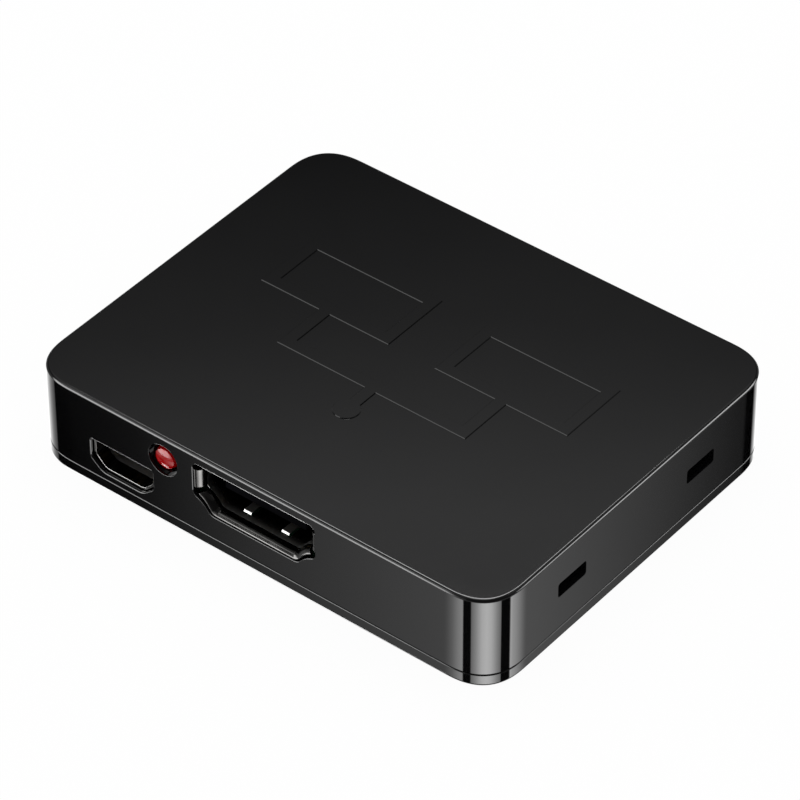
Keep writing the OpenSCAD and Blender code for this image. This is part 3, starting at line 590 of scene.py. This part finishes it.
# %% Copies for the outputs
def copy_to_back(piece, name, x):
    take_up(piece)
    bpy.ops.object.duplicate()
    twin = bpy.context.object
    twin.name = twin.data.name = name
    twin.rotation_euler = (0, 0, math.pi)
    twin.location = (x * MM, 0, 0)
    bpy.ops.object.transform_apply(location=True, rotation=True, scale=True)
    return twin


video_shells = {"video_in": shell}
video_springs = {"video_in": springs}
for letter, x in (("a", -OUTPUT_X), ("b", OUTPUT_X)):
    video_shells[f"video_out_{letter}"] = copy_to_back(shell, f"output_{letter}_shell", x)
    video_springs[f"video_out_{letter}"] = copy_to_back(springs, f"output_{letter}_springs", x)
print("shells:", [piece.name for piece in video_shells.values()])

# %% [markdown]
# ## The power socket
# The small power socket is a plain folded tube with slanted lower corners and no flare. Its rim shows
# as a thin bright line all round, so the rim gets a soft edge, and four small feet solder it to the
# board.

# %% Power shell
POWER_L, POWER_W, POWER_SOFT = 7.2, 4.1, 0.07
FOOT_L, FOOT_OUT, FOOT_IN = 2, 1.2, 0.1
POWER_SHELL = [(POWER_W, 1.85, 0.45), (POWER_W, -0.424, 0.4), (2.674, -1.85, 0.5)]

power_shell = port_solid("power_rim", POWER_X, POWER_Z, POWER_SHELL, MOUTH_Y, MOUTH_Y + POWER_L)
open_ends(power_shell)
sheet_metal(power_shell, SHEET)
for side in (-1, 1):
    for foot_y in (POWER_L / 3, POWER_L - FOOT_L):
        ends = sorted((POWER_X + side * (POWER_W - FOOT_IN), POWER_X + side * (POWER_W + FOOT_OUT)))
        carve(power_shell, block("foot", (ends[0], MOUTH_Y + foot_y, BOARD_TOP),
                                 (ends[1], MOUTH_Y + foot_y + FOOT_L, BOARD_TOP + SHEET)), "UNION")
soften(power_shell, POWER_SOFT)

# %% [markdown]
# ## The indicator lens
# The red lens is a short plug with a domed face, held from behind by a collar. A sphere cut by a plane
# gives the dome. Its cut edge is then extruded and resized again and again, as on a lathe, to turn the
# step round the dome, the flange on the seat, the stem and the collar. The profile lists radius and
# height above the seat.

# %% Lens
DOME_R, DOME, DOME_FOOT, LENS_SOFT = 1.46, 0.34, 0.1, 0.025
LENS_PROFILE = [(DOME_R, 0.06), (1.66, 0.06), (1.7, 0.03), (1.7, 0),
                (LENS_R, 0), (LENS_R, -1), (2, -1), (2, -1.5)]
ball_r = (DOME_R ** 2 + DOME ** 2) / (2 * DOME)

start_clean()
bpy.ops.mesh.primitive_uv_sphere_add(
    segments=64, ring_count=128, radius=ball_r * MM, rotation=(math.pi / 2, 0, 0),
    location=(LENS_X * MM, (SEAT_Y - DOME_FOOT - DOME + ball_r) * MM, LENS_Z * MM))
red_lens = bpy.context.object
red_lens.name = red_lens.data.name = "red_lens"
bpy.ops.object.transform_apply(location=True, rotation=True, scale=True)
bpy.ops.object.mode_set(mode="EDIT")
bpy.ops.mesh.select_all(action="SELECT")
bpy.ops.mesh.bisect(plane_co=(0, (SEAT_Y - DOME_FOOT) * MM, 0), plane_no=(0, 1, 0), clear_outer=True)
radius, rise = DOME_R, DOME_FOOT
for next_radius, next_rise in LENS_PROFILE:
    extrude(y=rise - next_rise)
    bpy.ops.transform.resize(value=(next_radius / radius, 1, next_radius / radius),
                             center_override=(LENS_X * MM, (SEAT_Y - next_rise) * MM, LENS_Z * MM))
    radius, rise = next_radius, next_rise
bpy.ops.mesh.edge_face_add()
bpy.ops.mesh.select_all(action="SELECT")
bpy.ops.mesh.normals_make_consistent(inside=False)
soften(red_lens, LENS_SOFT, segments=3, angle=25)

# %% [markdown]
# ## Shared effects for the finishes
# Nothing made by people is one flat colour. Three small node groups give every finish its life: a fine
# grain for the surface itself, soft smudges for handling, and fine lines for rolled sheet steel. All
# read Object coordinates, so they stay on the piece from any side. They only put out numbers, and each
# material decides what to do with them.


# %% Node groups
CLOUD_LOW, CLOUD_HIGH = 0.3, 0.7
MIX_FACTOR, MIX_FIRST, MIX_SECOND, MIX_RESULT = 0, 6, 7, 2


def new_group(name, inputs, outputs):
    group = bpy.data.node_groups.new(name, "ShaderNodeTree")
    for socket, value in inputs:
        entry = group.interface.new_socket(socket, in_out="INPUT", socket_type="NodeSocketFloat")
        entry.default_value = value
    for socket in outputs:
        group.interface.new_socket(socket, in_out="OUTPUT", socket_type="NodeSocketFloat")
    return group, group.nodes.new("NodeGroupInput"), group.nodes.new("NodeGroupOutput")


def cloud_group(name, detail, stretch=(1, 1, 1)):
    """A cloud of noise in Object coordinates, mapped to the range Low to High."""
    inputs = [("Scale", 500), ("Low", 0), ("High", 1)]
    group, given, result = new_group(name, inputs, ["Value", "Height"])
    place = group.nodes.new("ShaderNodeTexCoord")
    shape = group.nodes.new("ShaderNodeMapping")
    shape.inputs["Scale"].default_value = stretch
    noise = group.nodes.new("ShaderNodeTexNoise")
    noise.inputs["Detail"].default_value = detail
    spread = group.nodes.new("ShaderNodeMapRange")
    spread.inputs["From Min"].default_value = CLOUD_LOW
    spread.inputs["From Max"].default_value = CLOUD_HIGH
    link = group.links.new
    link(place.outputs["Object"], shape.inputs["Vector"])
    link(shape.outputs["Vector"], noise.inputs["Vector"])
    link(given.outputs["Scale"], noise.inputs["Scale"])
    link(noise.outputs["Fac"], spread.inputs["Value"])
    link(given.outputs["Low"], spread.inputs["To Min"])
    link(given.outputs["High"], spread.inputs["To Max"])
    link(spread.outputs["Result"], result.inputs["Value"])
    link(noise.outputs["Fac"], result.inputs["Height"])
    return group


def math_node(nodes, link, operation, first, second):
    """A sum, product or comparison of two sockets or numbers."""
    node = nodes.new("ShaderNodeMath")
    node.operation = operation
    for socket, value in zip(node.inputs, (first, second)):
        if isinstance(value, (int, float)):
            socket.default_value = value
        else:
            link(value, socket)
    return node.outputs[0]


def colour_mix(nodes, link, factor, first, second):
    """A blend of two colours, each a socket or three numbers, by a factor socket."""
    node = nodes.new("ShaderNodeMix")
    node.data_type = "RGBA"
    link(factor, node.inputs[MIX_FACTOR])
    for place, value in ((MIX_FIRST, first), (MIX_SECOND, second)):
        if isinstance(value, tuple):
            node.inputs[place].default_value = (*value, 1)
        else:
            link(value, node.inputs[place])
    return node.outputs[MIX_RESULT]


fine_grain = cloud_group("fine_grain", detail=4)
soft_smudges = cloud_group("soft_smudges", detail=2)
rolled_lines = cloud_group("rolled_lines", detail=3, stretch=(1, 0.04, 1))
print("groups:", [group.name for group in bpy.data.node_groups])


# %% [markdown]
# ## Finishes
# Each finish starts from the same recipe: two close tones mixed by a cloud, a roughness that wanders a
# little, and a bump from the same grain. What differs are the numbers, as they do between moulded
# plastic, steel and gold. The sockets' steel is painted dark at the mouth, as painted shade, so that
# the bright cards show only dimly there, and it is polished. Behind the mouth it has the steel's plain
# tone and is dull, so a few more nodes mix the two by their place. The power rim and the springs use a
# lighter copy of the steel with less painted shade, and the gold of the contacts is painted darker, as
# the shade inside the sockets.


# %% A finish from a few numbers
GRAIN_DEPTH = 0.02


def finish(name, dark, light, rough, grain=(3000, 0.02), group=None, tone_scale=400, **sockets):
    """A material with two tones, a wandering roughness and a fine bump.

    The grain gives the scale and the strength of the bump. Other keywords set the shader's sockets."""
    material = bpy.data.materials.new(name)
    material.use_nodes = True
    nodes, link = material.node_tree.nodes, material.node_tree.links.new
    shader = nodes["Principled BSDF"]
    for socket, value in sockets.items():
        shader.inputs[socket.replace("_", " ")].default_value = value

    tone = nodes.new("ShaderNodeGroup")
    tone.node_tree = soft_smudges
    tone.inputs["Scale"].default_value = tone_scale
    tone.inputs["Low"].default_value, tone.inputs["High"].default_value = 0, 1
    link(colour_mix(nodes, link, tone.outputs["Value"], dark, light), shader.inputs["Base Color"])

    surface = nodes.new("ShaderNodeGroup")
    surface.node_tree = group or fine_grain
    surface.inputs["Scale"].default_value = grain[0]
    surface.inputs["Low"].default_value, surface.inputs["High"].default_value = rough
    bump = nodes.new("ShaderNodeBump")
    bump.inputs["Strength"].default_value = grain[1]
    bump.inputs["Distance"].default_value = GRAIN_DEPTH * MM
    link(surface.outputs["Value"], shader.inputs["Roughness"])
    link(surface.outputs["Height"], bump.inputs["Height"])
    link(bump.outputs["Normal"], shader.inputs["Normal"])
    return material


def painted_shade_only_at_mouth(material, start, fade, level, colour, rough):
    """Mixes in the steel's plain tone and a duller surface behind a mouth.

    In front of that the finish keeps its darker tone, which is painted shade. The plain tone starts at
    a distance from the middle of the box and fades out inwards, but it stays on all that lies above a
    level."""
    nodes, link = material.node_tree.nodes, material.node_tree.links.new
    shader = nodes["Principled BSDF"]
    place = nodes.new("ShaderNodeSeparateXYZ")
    link(nodes.new("ShaderNodeTexCoord").outputs["Object"], place.inputs[0])
    off_middle = math_node(nodes, link, "ABSOLUTE", place.outputs["Y"], 0)
    behind = math_node(nodes, link, "LESS_THAN", off_middle, start * MM)
    faded_end = math_node(nodes, link, "SUBTRACT", off_middle, (start - fade) * MM)
    close = math_node(nodes, link, "MAXIMUM", math_node(nodes, link, "DIVIDE", faded_end, fade * MM), 0)
    above = math_node(nodes, link, "GREATER_THAN", place.outputs["Z"], level * MM)
    share = math_node(nodes, link, "MULTIPLY", behind, math_node(nodes, link, "MAXIMUM", close, above))
    # The finish's own darker tone is the painted shade at the mouth; the plain steel tone replaces it
    # behind.
    painted_shade_tone = shader.inputs["Base Color"].links[0].from_socket
    lip_rough = shader.inputs["Roughness"].links[0].from_socket
    link(colour_mix(nodes, link, share, painted_shade_tone, colour), shader.inputs["Base Color"])
    dull = math_node(nodes, link, "MULTIPLY", share, rough)
    link(math_node(nodes, link, "MAXIMUM", lip_rough, dull), shader.inputs["Roughness"])


finishes = {
    "case_plastic": finish("glossy_case", (0.0022, 0.0022, 0.0024), (0.0034, 0.0034, 0.0036),
                           (0.03, 0.05), (250, 0.0015), tone_scale=60),
    "screw_steel": finish("screw_steel", (0.4, 0.4, 0.41), (0.55, 0.55, 0.56), (0.25, 0.4), (1500, 0.005),
                          Metallic=1),
    "board_laminate": finish("solder_mask", (0.004, 0.026, 0.012), (0.006, 0.042, 0.019),
                             (0.25, 0.4), (2000, 0.006), tone_scale=900),
    "red_lens": finish("red_lens", (0.3, 0.0006, 0.001), (0.46, 0.0015, 0.003), (0.12, 0.2), (800, 0.01),
                       Specular_IOR_Level=0.35),
    "red_diode": finish("red_diode", (0.35, 0.01, 0.01), (0.5, 0.03, 0.02), (0.1, 0.2)),
    "tinned_lead": finish("tinned_lead", (0.6, 0.6, 0.58), (0.75, 0.75, 0.74), (0.2, 0.35), (1500, 0.005),
                          Metallic=1),
    # The sockets' steel is painted dark, as shade, so that the bright cards show only dimly in the
    # mouths; its own tone is PLAIN_STEEL below.
    "socket_steel": finish("socket_steel", (0.055, 0.054, 0.053), (0.08, 0.079, 0.077),
                           (0.12, 0.2), (900, 0.005), rolled_lines, Metallic=1),
    # A lighter copy of the same steel for the power rim and the springs, with less painted shade than the
    # sockets' steel.
    "less_shaded_steel": finish("less_shaded_steel", (0.19, 0.188, 0.183), (0.26, 0.257, 0.25),
                           (0.12, 0.2), (900, 0.005), rolled_lines, Metallic=1),
    "socket_plastic": finish("socket_plastic", (0.003, 0.003, 0.0035), (0.006, 0.006, 0.007), (0.45, 0.6),
                             (2500, 0.1), Specular_IOR_Level=0),
    # The gold is painted darker than gold is, as the shade inside the sockets where the contacts sit.
    "contact_gold": finish("contact_gold", (0.3, 0.19, 0.055), (0.42, 0.28, 0.09), (0.35, 0.5),
                           Metallic=1),
    "chip_resin": finish("chip_resin", (0.012, 0.012, 0.013), (0.022, 0.022, 0.023), (0.5, 0.65),
                         (6000, 0.3)),
    "can_metal": finish("can_metal", (0.6, 0.6, 0.62), (0.74, 0.74, 0.76), (0.2, 0.32), (1200, 0.003),
                        Metallic=1),
    "ferrite": finish("ferrite", (0.03, 0.03, 0.032), (0.06, 0.06, 0.062), (0.55, 0.75), (5000, 0.4)),
    "ceramic_tan": finish("ceramic_tan", (0.38, 0.26, 0.15), (0.5, 0.36, 0.22), (0.4, 0.55)),
}
# PLAIN_STEEL is the steel's own tone; the darker tones of the two steel finishes are painted shade at the
# mouths, the rim and the spring tips.
PLAIN_STEEL, DULL = (0.42, 0.415, 0.405), 0.45
LIP_END, FLOOR_FADE, SHELL_TOP = -MOUTH_Y - LIP_L, 2, VIDEO_Z + SHELL_H - SHEET / 2
STEM_BACK, STEM_FADE = 1.6, 8
painted_shade_only_at_mouth(finishes["socket_steel"], LIP_END, FLOOR_FADE, SHELL_TOP, PLAIN_STEEL, DULL)
painted_shade_only_at_mouth(finishes["less_shaded_steel"], -MOUTH_Y - STEM_BACK, STEM_FADE, SHELL_TOP, PLAIN_STEEL, DULL)
print("finishes:", list(finishes))

# %% [markdown]
# ## Putting the pieces on the moving bodies
# Each new piece takes a finish and rides on a body, and most replace a CAD node and take its finish: the
# case and its lens lift off together, the springs bend in their sockets, and the rest stays put. The
# power rim and the springs then take the lighter copy of the steel, which has less painted shade.


# %% Ride, replace and paint
def put_on(piece, body, slot, *nodes):
    start_clean()
    piece.data.materials.clear()
    piece.data.materials.append(finishes[slot])
    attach(piece, body)
    if nodes:
        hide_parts(*nodes)


put_on(case_top, "upper_case", "case_plastic", "top_case")
put_on(roof_diagram, "upper_case", "case_plastic")
put_on(red_lens, "upper_case", "red_lens", "indicator_lens")
put_on(case_base, "base", "case_plastic", "bottom_cover")
put_on(power_shell, "base", "socket_steel", "power_shell")
# The power rim takes the lighter copy of the steel, with less painted shade.
power_shell.data.materials[0] = finishes["less_shaded_steel"]
SPRING_BODIES = {"video_in": "input_springs", "video_out_a": "output_a_springs",
                 "video_out_b": "output_b_springs"}
for socket, body in SPRING_BODIES.items():
    put_on(video_shells[socket], "base", "socket_steel", f"{socket}_shell")
    put_on(video_springs[socket], body, "socket_steel", f"{socket}_springs")
    # The springs take the lighter copy of the steel, with less painted shade.
    video_springs[socket].data.materials[0] = finishes["less_shaded_steel"]

for part in frame["record"]["subparts"]:
    node = frame["nodes"][part["node"]]
    node.data.materials.clear()
    node.data.materials.append(finishes[part["material_slot"]])

# %% [markdown]
# ## Floor and light
# A glossy black box shows little of itself: it shows what stands round it. So the light has two jobs.
# The world and a soft lamp light the scene evenly, and a set of cards that only reflections see stands
# for the bright strips and dark cards that a product photographer puts round such an object. The pale
# floor is white to the camera and keeps a shadow. From below it is clear, so that the underside can be
# looked at too.


# %% Floor and world
FLOOR_SIZE, FLOOR_DROP, FLOOR_TONE, FLOOR_SEEN = 6, 0.02, 0.9, 0.96
WORLD_LIGHT, WORLD_SEEN = 0.7, 0.3


def light_nodes(name):
    material = bpy.data.materials.new(name)
    material.use_nodes = True
    material.node_tree.nodes.remove(material.node_tree.nodes["Principled BSDF"])
    return material, material.node_tree.nodes, material.node_tree.links.new


def seen_rays(nodes, link):
    """1 for what the camera sees directly, in a mirror or through glass."""
    path = nodes.new("ShaderNodeLightPath")
    camera_ray, glossy_ray, glass_ray = (
        path.outputs[f"Is {kind} Ray"] for kind in ("Camera", "Glossy", "Transmission"))
    return math_node(nodes, link, "ADD", camera_ray, math_node(nodes, link, "ADD", glossy_ray, glass_ray))


start_clean()
bpy.ops.mesh.primitive_plane_add(size=FLOOR_SIZE, location=(0, 0, -FLOOR_DROP * MM))
floor = bpy.context.object
floor.name = "pale_floor"
paint, nodes, link = light_nodes("pale_floor")
matt = nodes.new("ShaderNodeBsdfDiffuse")
matt.inputs["Color"].default_value = (FLOOR_TONE, FLOOR_TONE, FLOOR_TONE, 1)
glow = nodes.new("ShaderNodeEmission")
blend = nodes.new("ShaderNodeMixShader")
link(math_node(nodes, link, "MULTIPLY", seen_rays(nodes, link), FLOOR_SEEN), blend.inputs[0])
link(matt.outputs[0], blend.inputs[1])
link(glow.outputs[0], blend.inputs[2])
from_below = nodes.new("ShaderNodeMixShader")
link(nodes.new("ShaderNodeNewGeometry").outputs["Backfacing"], from_below.inputs[0])
link(blend.outputs[0], from_below.inputs[1])
link(nodes.new("ShaderNodeBsdfTransparent").outputs[0], from_below.inputs[2])
link(from_below.outputs[0], nodes["Material Output"].inputs["Surface"])
floor.data.materials.append(paint)
floor.visible_glossy = False

world = bpy.data.worlds.new("soft_studio")
bpy.context.scene.world = world
world.use_nodes = True
sky, link = world.node_tree.nodes, world.node_tree.links.new
sky["Background"].inputs["Color"].default_value = (1, 1, 1, 1)
seen_share = math_node(sky, link, "MULTIPLY", seen_rays(sky, link), WORLD_SEEN)
link(math_node(sky, link, "ADD", seen_share, WORLD_LIGHT), sky["Background"].inputs["Strength"])
bpy.context.scene.view_settings.view_transform = "Standard"
print("floor:", FLOOR_SIZE, "m wide, world at", WORLD_LIGHT)

# %% [markdown]
# ## Cards seen in the reflections
# Each card is a piece of a tall cylinder round the box that only reflections can see. Two full rings
# carry soft fades, one below the horizon for the walls and one above it for the roof. Bright strips at
# the horizon draw the lines along the edges, a far band draws the fine line round the roof, a small
# card lights the relief, and a low card lights the upper edges of the windows. Two dark cards keep the
# near corner crisp. A dark foot and a disc close the rings below, so that the lower edges stay dark.


# %% Cards on cylinders
CARD_SIDES = 180


def only_mirrored(card):
    """Hides a card from everything but reflections."""
    card.visible_camera = card.visible_diffuse = card.visible_shadow = card.visible_transmission = False
    return card


def light_card(name, radius, low, high, arc=None):
    """An open cylinder, or only the part of it between two angles in degrees."""
    start_clean()
    bpy.ops.mesh.primitive_cylinder_add(
        vertices=CARD_SIDES, radius=radius * MM, depth=(high - low) * MM,
        location=(0, 0, (low + high) / 2 * MM), end_fill_type="NOTHING")
    card = bpy.context.object
    card.name = name
    bpy.ops.object.transform_apply(location=True, rotation=True, scale=True)
    if arc:
        start, end = arc
        pick(card, "FACE", lambda at, out: not (
            start < (math.degrees(math.atan2(at.y, at.x)) - start) % 360 + start < end))
        bpy.ops.mesh.delete(type="FACE")
        start_clean()
    return only_mirrored(card)


def paint_card(card, strength, stops=None, place_on=None):
    """Gives a card an even glow, or one that follows its stops of place and brightness."""
    paint, nodes, link = light_nodes(card.name)
    glow = nodes.new("ShaderNodeEmission")
    glow.inputs["Strength"].default_value = strength
    if stops:
        ramp = nodes.new("ShaderNodeValToRGB")
        while len(ramp.color_ramp.elements) > 1:
            ramp.color_ramp.elements.remove(ramp.color_ramp.elements[-1])
        for number, (place, brightness) in enumerate(stops):
            stop = ramp.color_ramp.elements[0] if number == 0 else ramp.color_ramp.elements.new(place)
            stop.position = place
            stop.color = (brightness, brightness, brightness, 1)
        parts = nodes.new("ShaderNodeSeparateXYZ")
        link(nodes.new("ShaderNodeTexCoord").outputs["Object"], parts.inputs[0])
        link(place_on(nodes, link, parts.outputs), ramp.inputs["Fac"])
        link(ramp.outputs["Color"], glow.inputs["Color"])
    link(glow.outputs[0], nodes["Material Output"].inputs["Surface"])
    card.data.materials.append(paint)


def round_the_ring(nodes, link, at):
    """0 to 1 over a full turn, from -180 degrees."""
    angle = math_node(nodes, link, "ARCTAN2", at["Y"], at["X"])
    return math_node(nodes, link, "ADD", math_node(nodes, link, "MULTIPLY", angle, 0.5 / math.pi), 0.5)


def up_the_ring(nodes, link, at):
    """0 at the foot of the high ring to 1 at its top edge."""
    above = math_node(nodes, link, "SUBTRACT", at["Z"], HIGH_FOOT * MM)
    return math_node(nodes, link, "DIVIDE", above, (HIGH_TOP - HIGH_FOOT) * MM)


# %% Rings, strips and dark cards
LOW_GLOW, HIGH_GLOW, STRIP_GLOW, FAR_GLOW, SILL_GLOW, RELIEF_GLOW = 10, 8, 8, 9, 7, 2
DARK_GLOW, DISC_GLOW = 0.1, 0.25
HIGH_FOOT, HIGH_TOP, DEEP, DISC_R = -120, 900, -300, 150
LOW_STOPS = [(-180, 0.155), (-165, 0.08), (-158, 0.05), (-156, 0), (-135, 0), (-131, 0.004),
             (-125, 0.03), (-115, 0.069), (-107, 0.155), (-98, 0.29), (-90.2, 0.38), (-89, 0),
             (-74.6, 0), (-73.4, 0.22), (-63.5, 0.425), (-51, 0.76), (-41, 0.85), (-31, 0.74),
             (-18, 0.38), (-10, 0.22), (-8.8, 0), (10.6, 0), (12, 0.49), (16, 0.37), (39, 0.065),
             (45, 0.035), (50.4, 0.0086), (53.5, 0), (67.5, 0), (71.5, 0.08), (85, 0.215),
             (180, 0.155)]
FRONT_STOPS = [(-148, 0), (-138, 1), (-107, 1), (-101, 0.5), (-95, 0.15), (-88, 0.08), (-80, 0.06)]
SIDE_STOPS = [(12, 0.2), (30, 1), (48, 1), (60, 0)]
HIGH_STOPS = [(-120, 0.06), (-20, 0.05), (10, 0.04), (60, 0.034), (105, 0.022), (122, 0.004),
              (131, 0.005), (172, 0.028), (212, 0.07), (300, 0.06), (380, 0.02), (600, 0.06), (900, 0.19)]
CORNER_STOPS = [(-92, 0.3), (-78, 0.05), (0, 0.05), (14, 0.3)]
FOOT_STOPS = [(-180, 0.7), (-160, 0), (66, 0), (90, 0.7), (180, 0.7)]


def paint_round(card, strength, stops):
    paint_card(card, strength, [((angle + 180) / 360, bright) for angle, bright in stops], round_the_ring)


paint_round(light_card("low_ring", 150, -150, -84), LOW_GLOW, LOW_STOPS)
paint_card(light_card("high_ring", 200, HIGH_FOOT, HIGH_TOP), HIGH_GLOW,
           [((z - HIGH_FOOT) / (HIGH_TOP - HIGH_FOOT), bright) for z, bright in HIGH_STOPS], up_the_ring)
paint_round(light_card("front_strip", 149, -50, 54, (-148, -80)), STRIP_GLOW, FRONT_STOPS)
paint_round(light_card("side_strip", 149, -10, 54, (12, 64)), STRIP_GLOW, SIDE_STOPS)
paint_card(light_card("relief_card", 148, 85, 152, (-146, -106)), RELIEF_GLOW)
paint_card(light_card("far_band", 190, 226, 709, (100, 156)), FAR_GLOW)
paint_card(light_card("sill_card", 149, DEEP, -170, (-178, -138)), SILL_GLOW)
paint_card(light_card("dark_card", 180, 115, HIGH_TOP, (-92, 14)), DARK_GLOW)
paint_round(light_card("corner_card", 180, -20, 115, (-92, 14)), 1, CORNER_STOPS)
paint_round(light_card("dark_foot", 150, DEEP, -150), 1, FOOT_STOPS)
start_clean()
bpy.ops.mesh.primitive_circle_add(
    vertices=64, radius=DISC_R * MM, fill_type="NGON", location=(0, 0, DEEP * MM))
dark_disc = only_mirrored(bpy.context.object)
dark_disc.name = "dark_disc"
paint_card(dark_disc, DISC_GLOW)
print("stops:", len(LOW_STOPS), len(HIGH_STOPS))

# %% Soft lamp
LAMP_SIZE, LAMP_POWER, LAMP_PLACE = 0.8, 3, (-0.1, 0.1, 0.9)

lamp = bpy.data.lights.new("soft_lamp", "AREA")
lamp.shape, lamp.size, lamp.size_y = "RECTANGLE", LAMP_SIZE, LAMP_SIZE
lamp.energy = LAMP_POWER
soft_lamp = bpy.data.objects.new("soft_lamp", lamp)
bpy.context.scene.collection.objects.link(soft_lamp)
soft_lamp.location = LAMP_PLACE
print("lamp power:", lamp.energy)
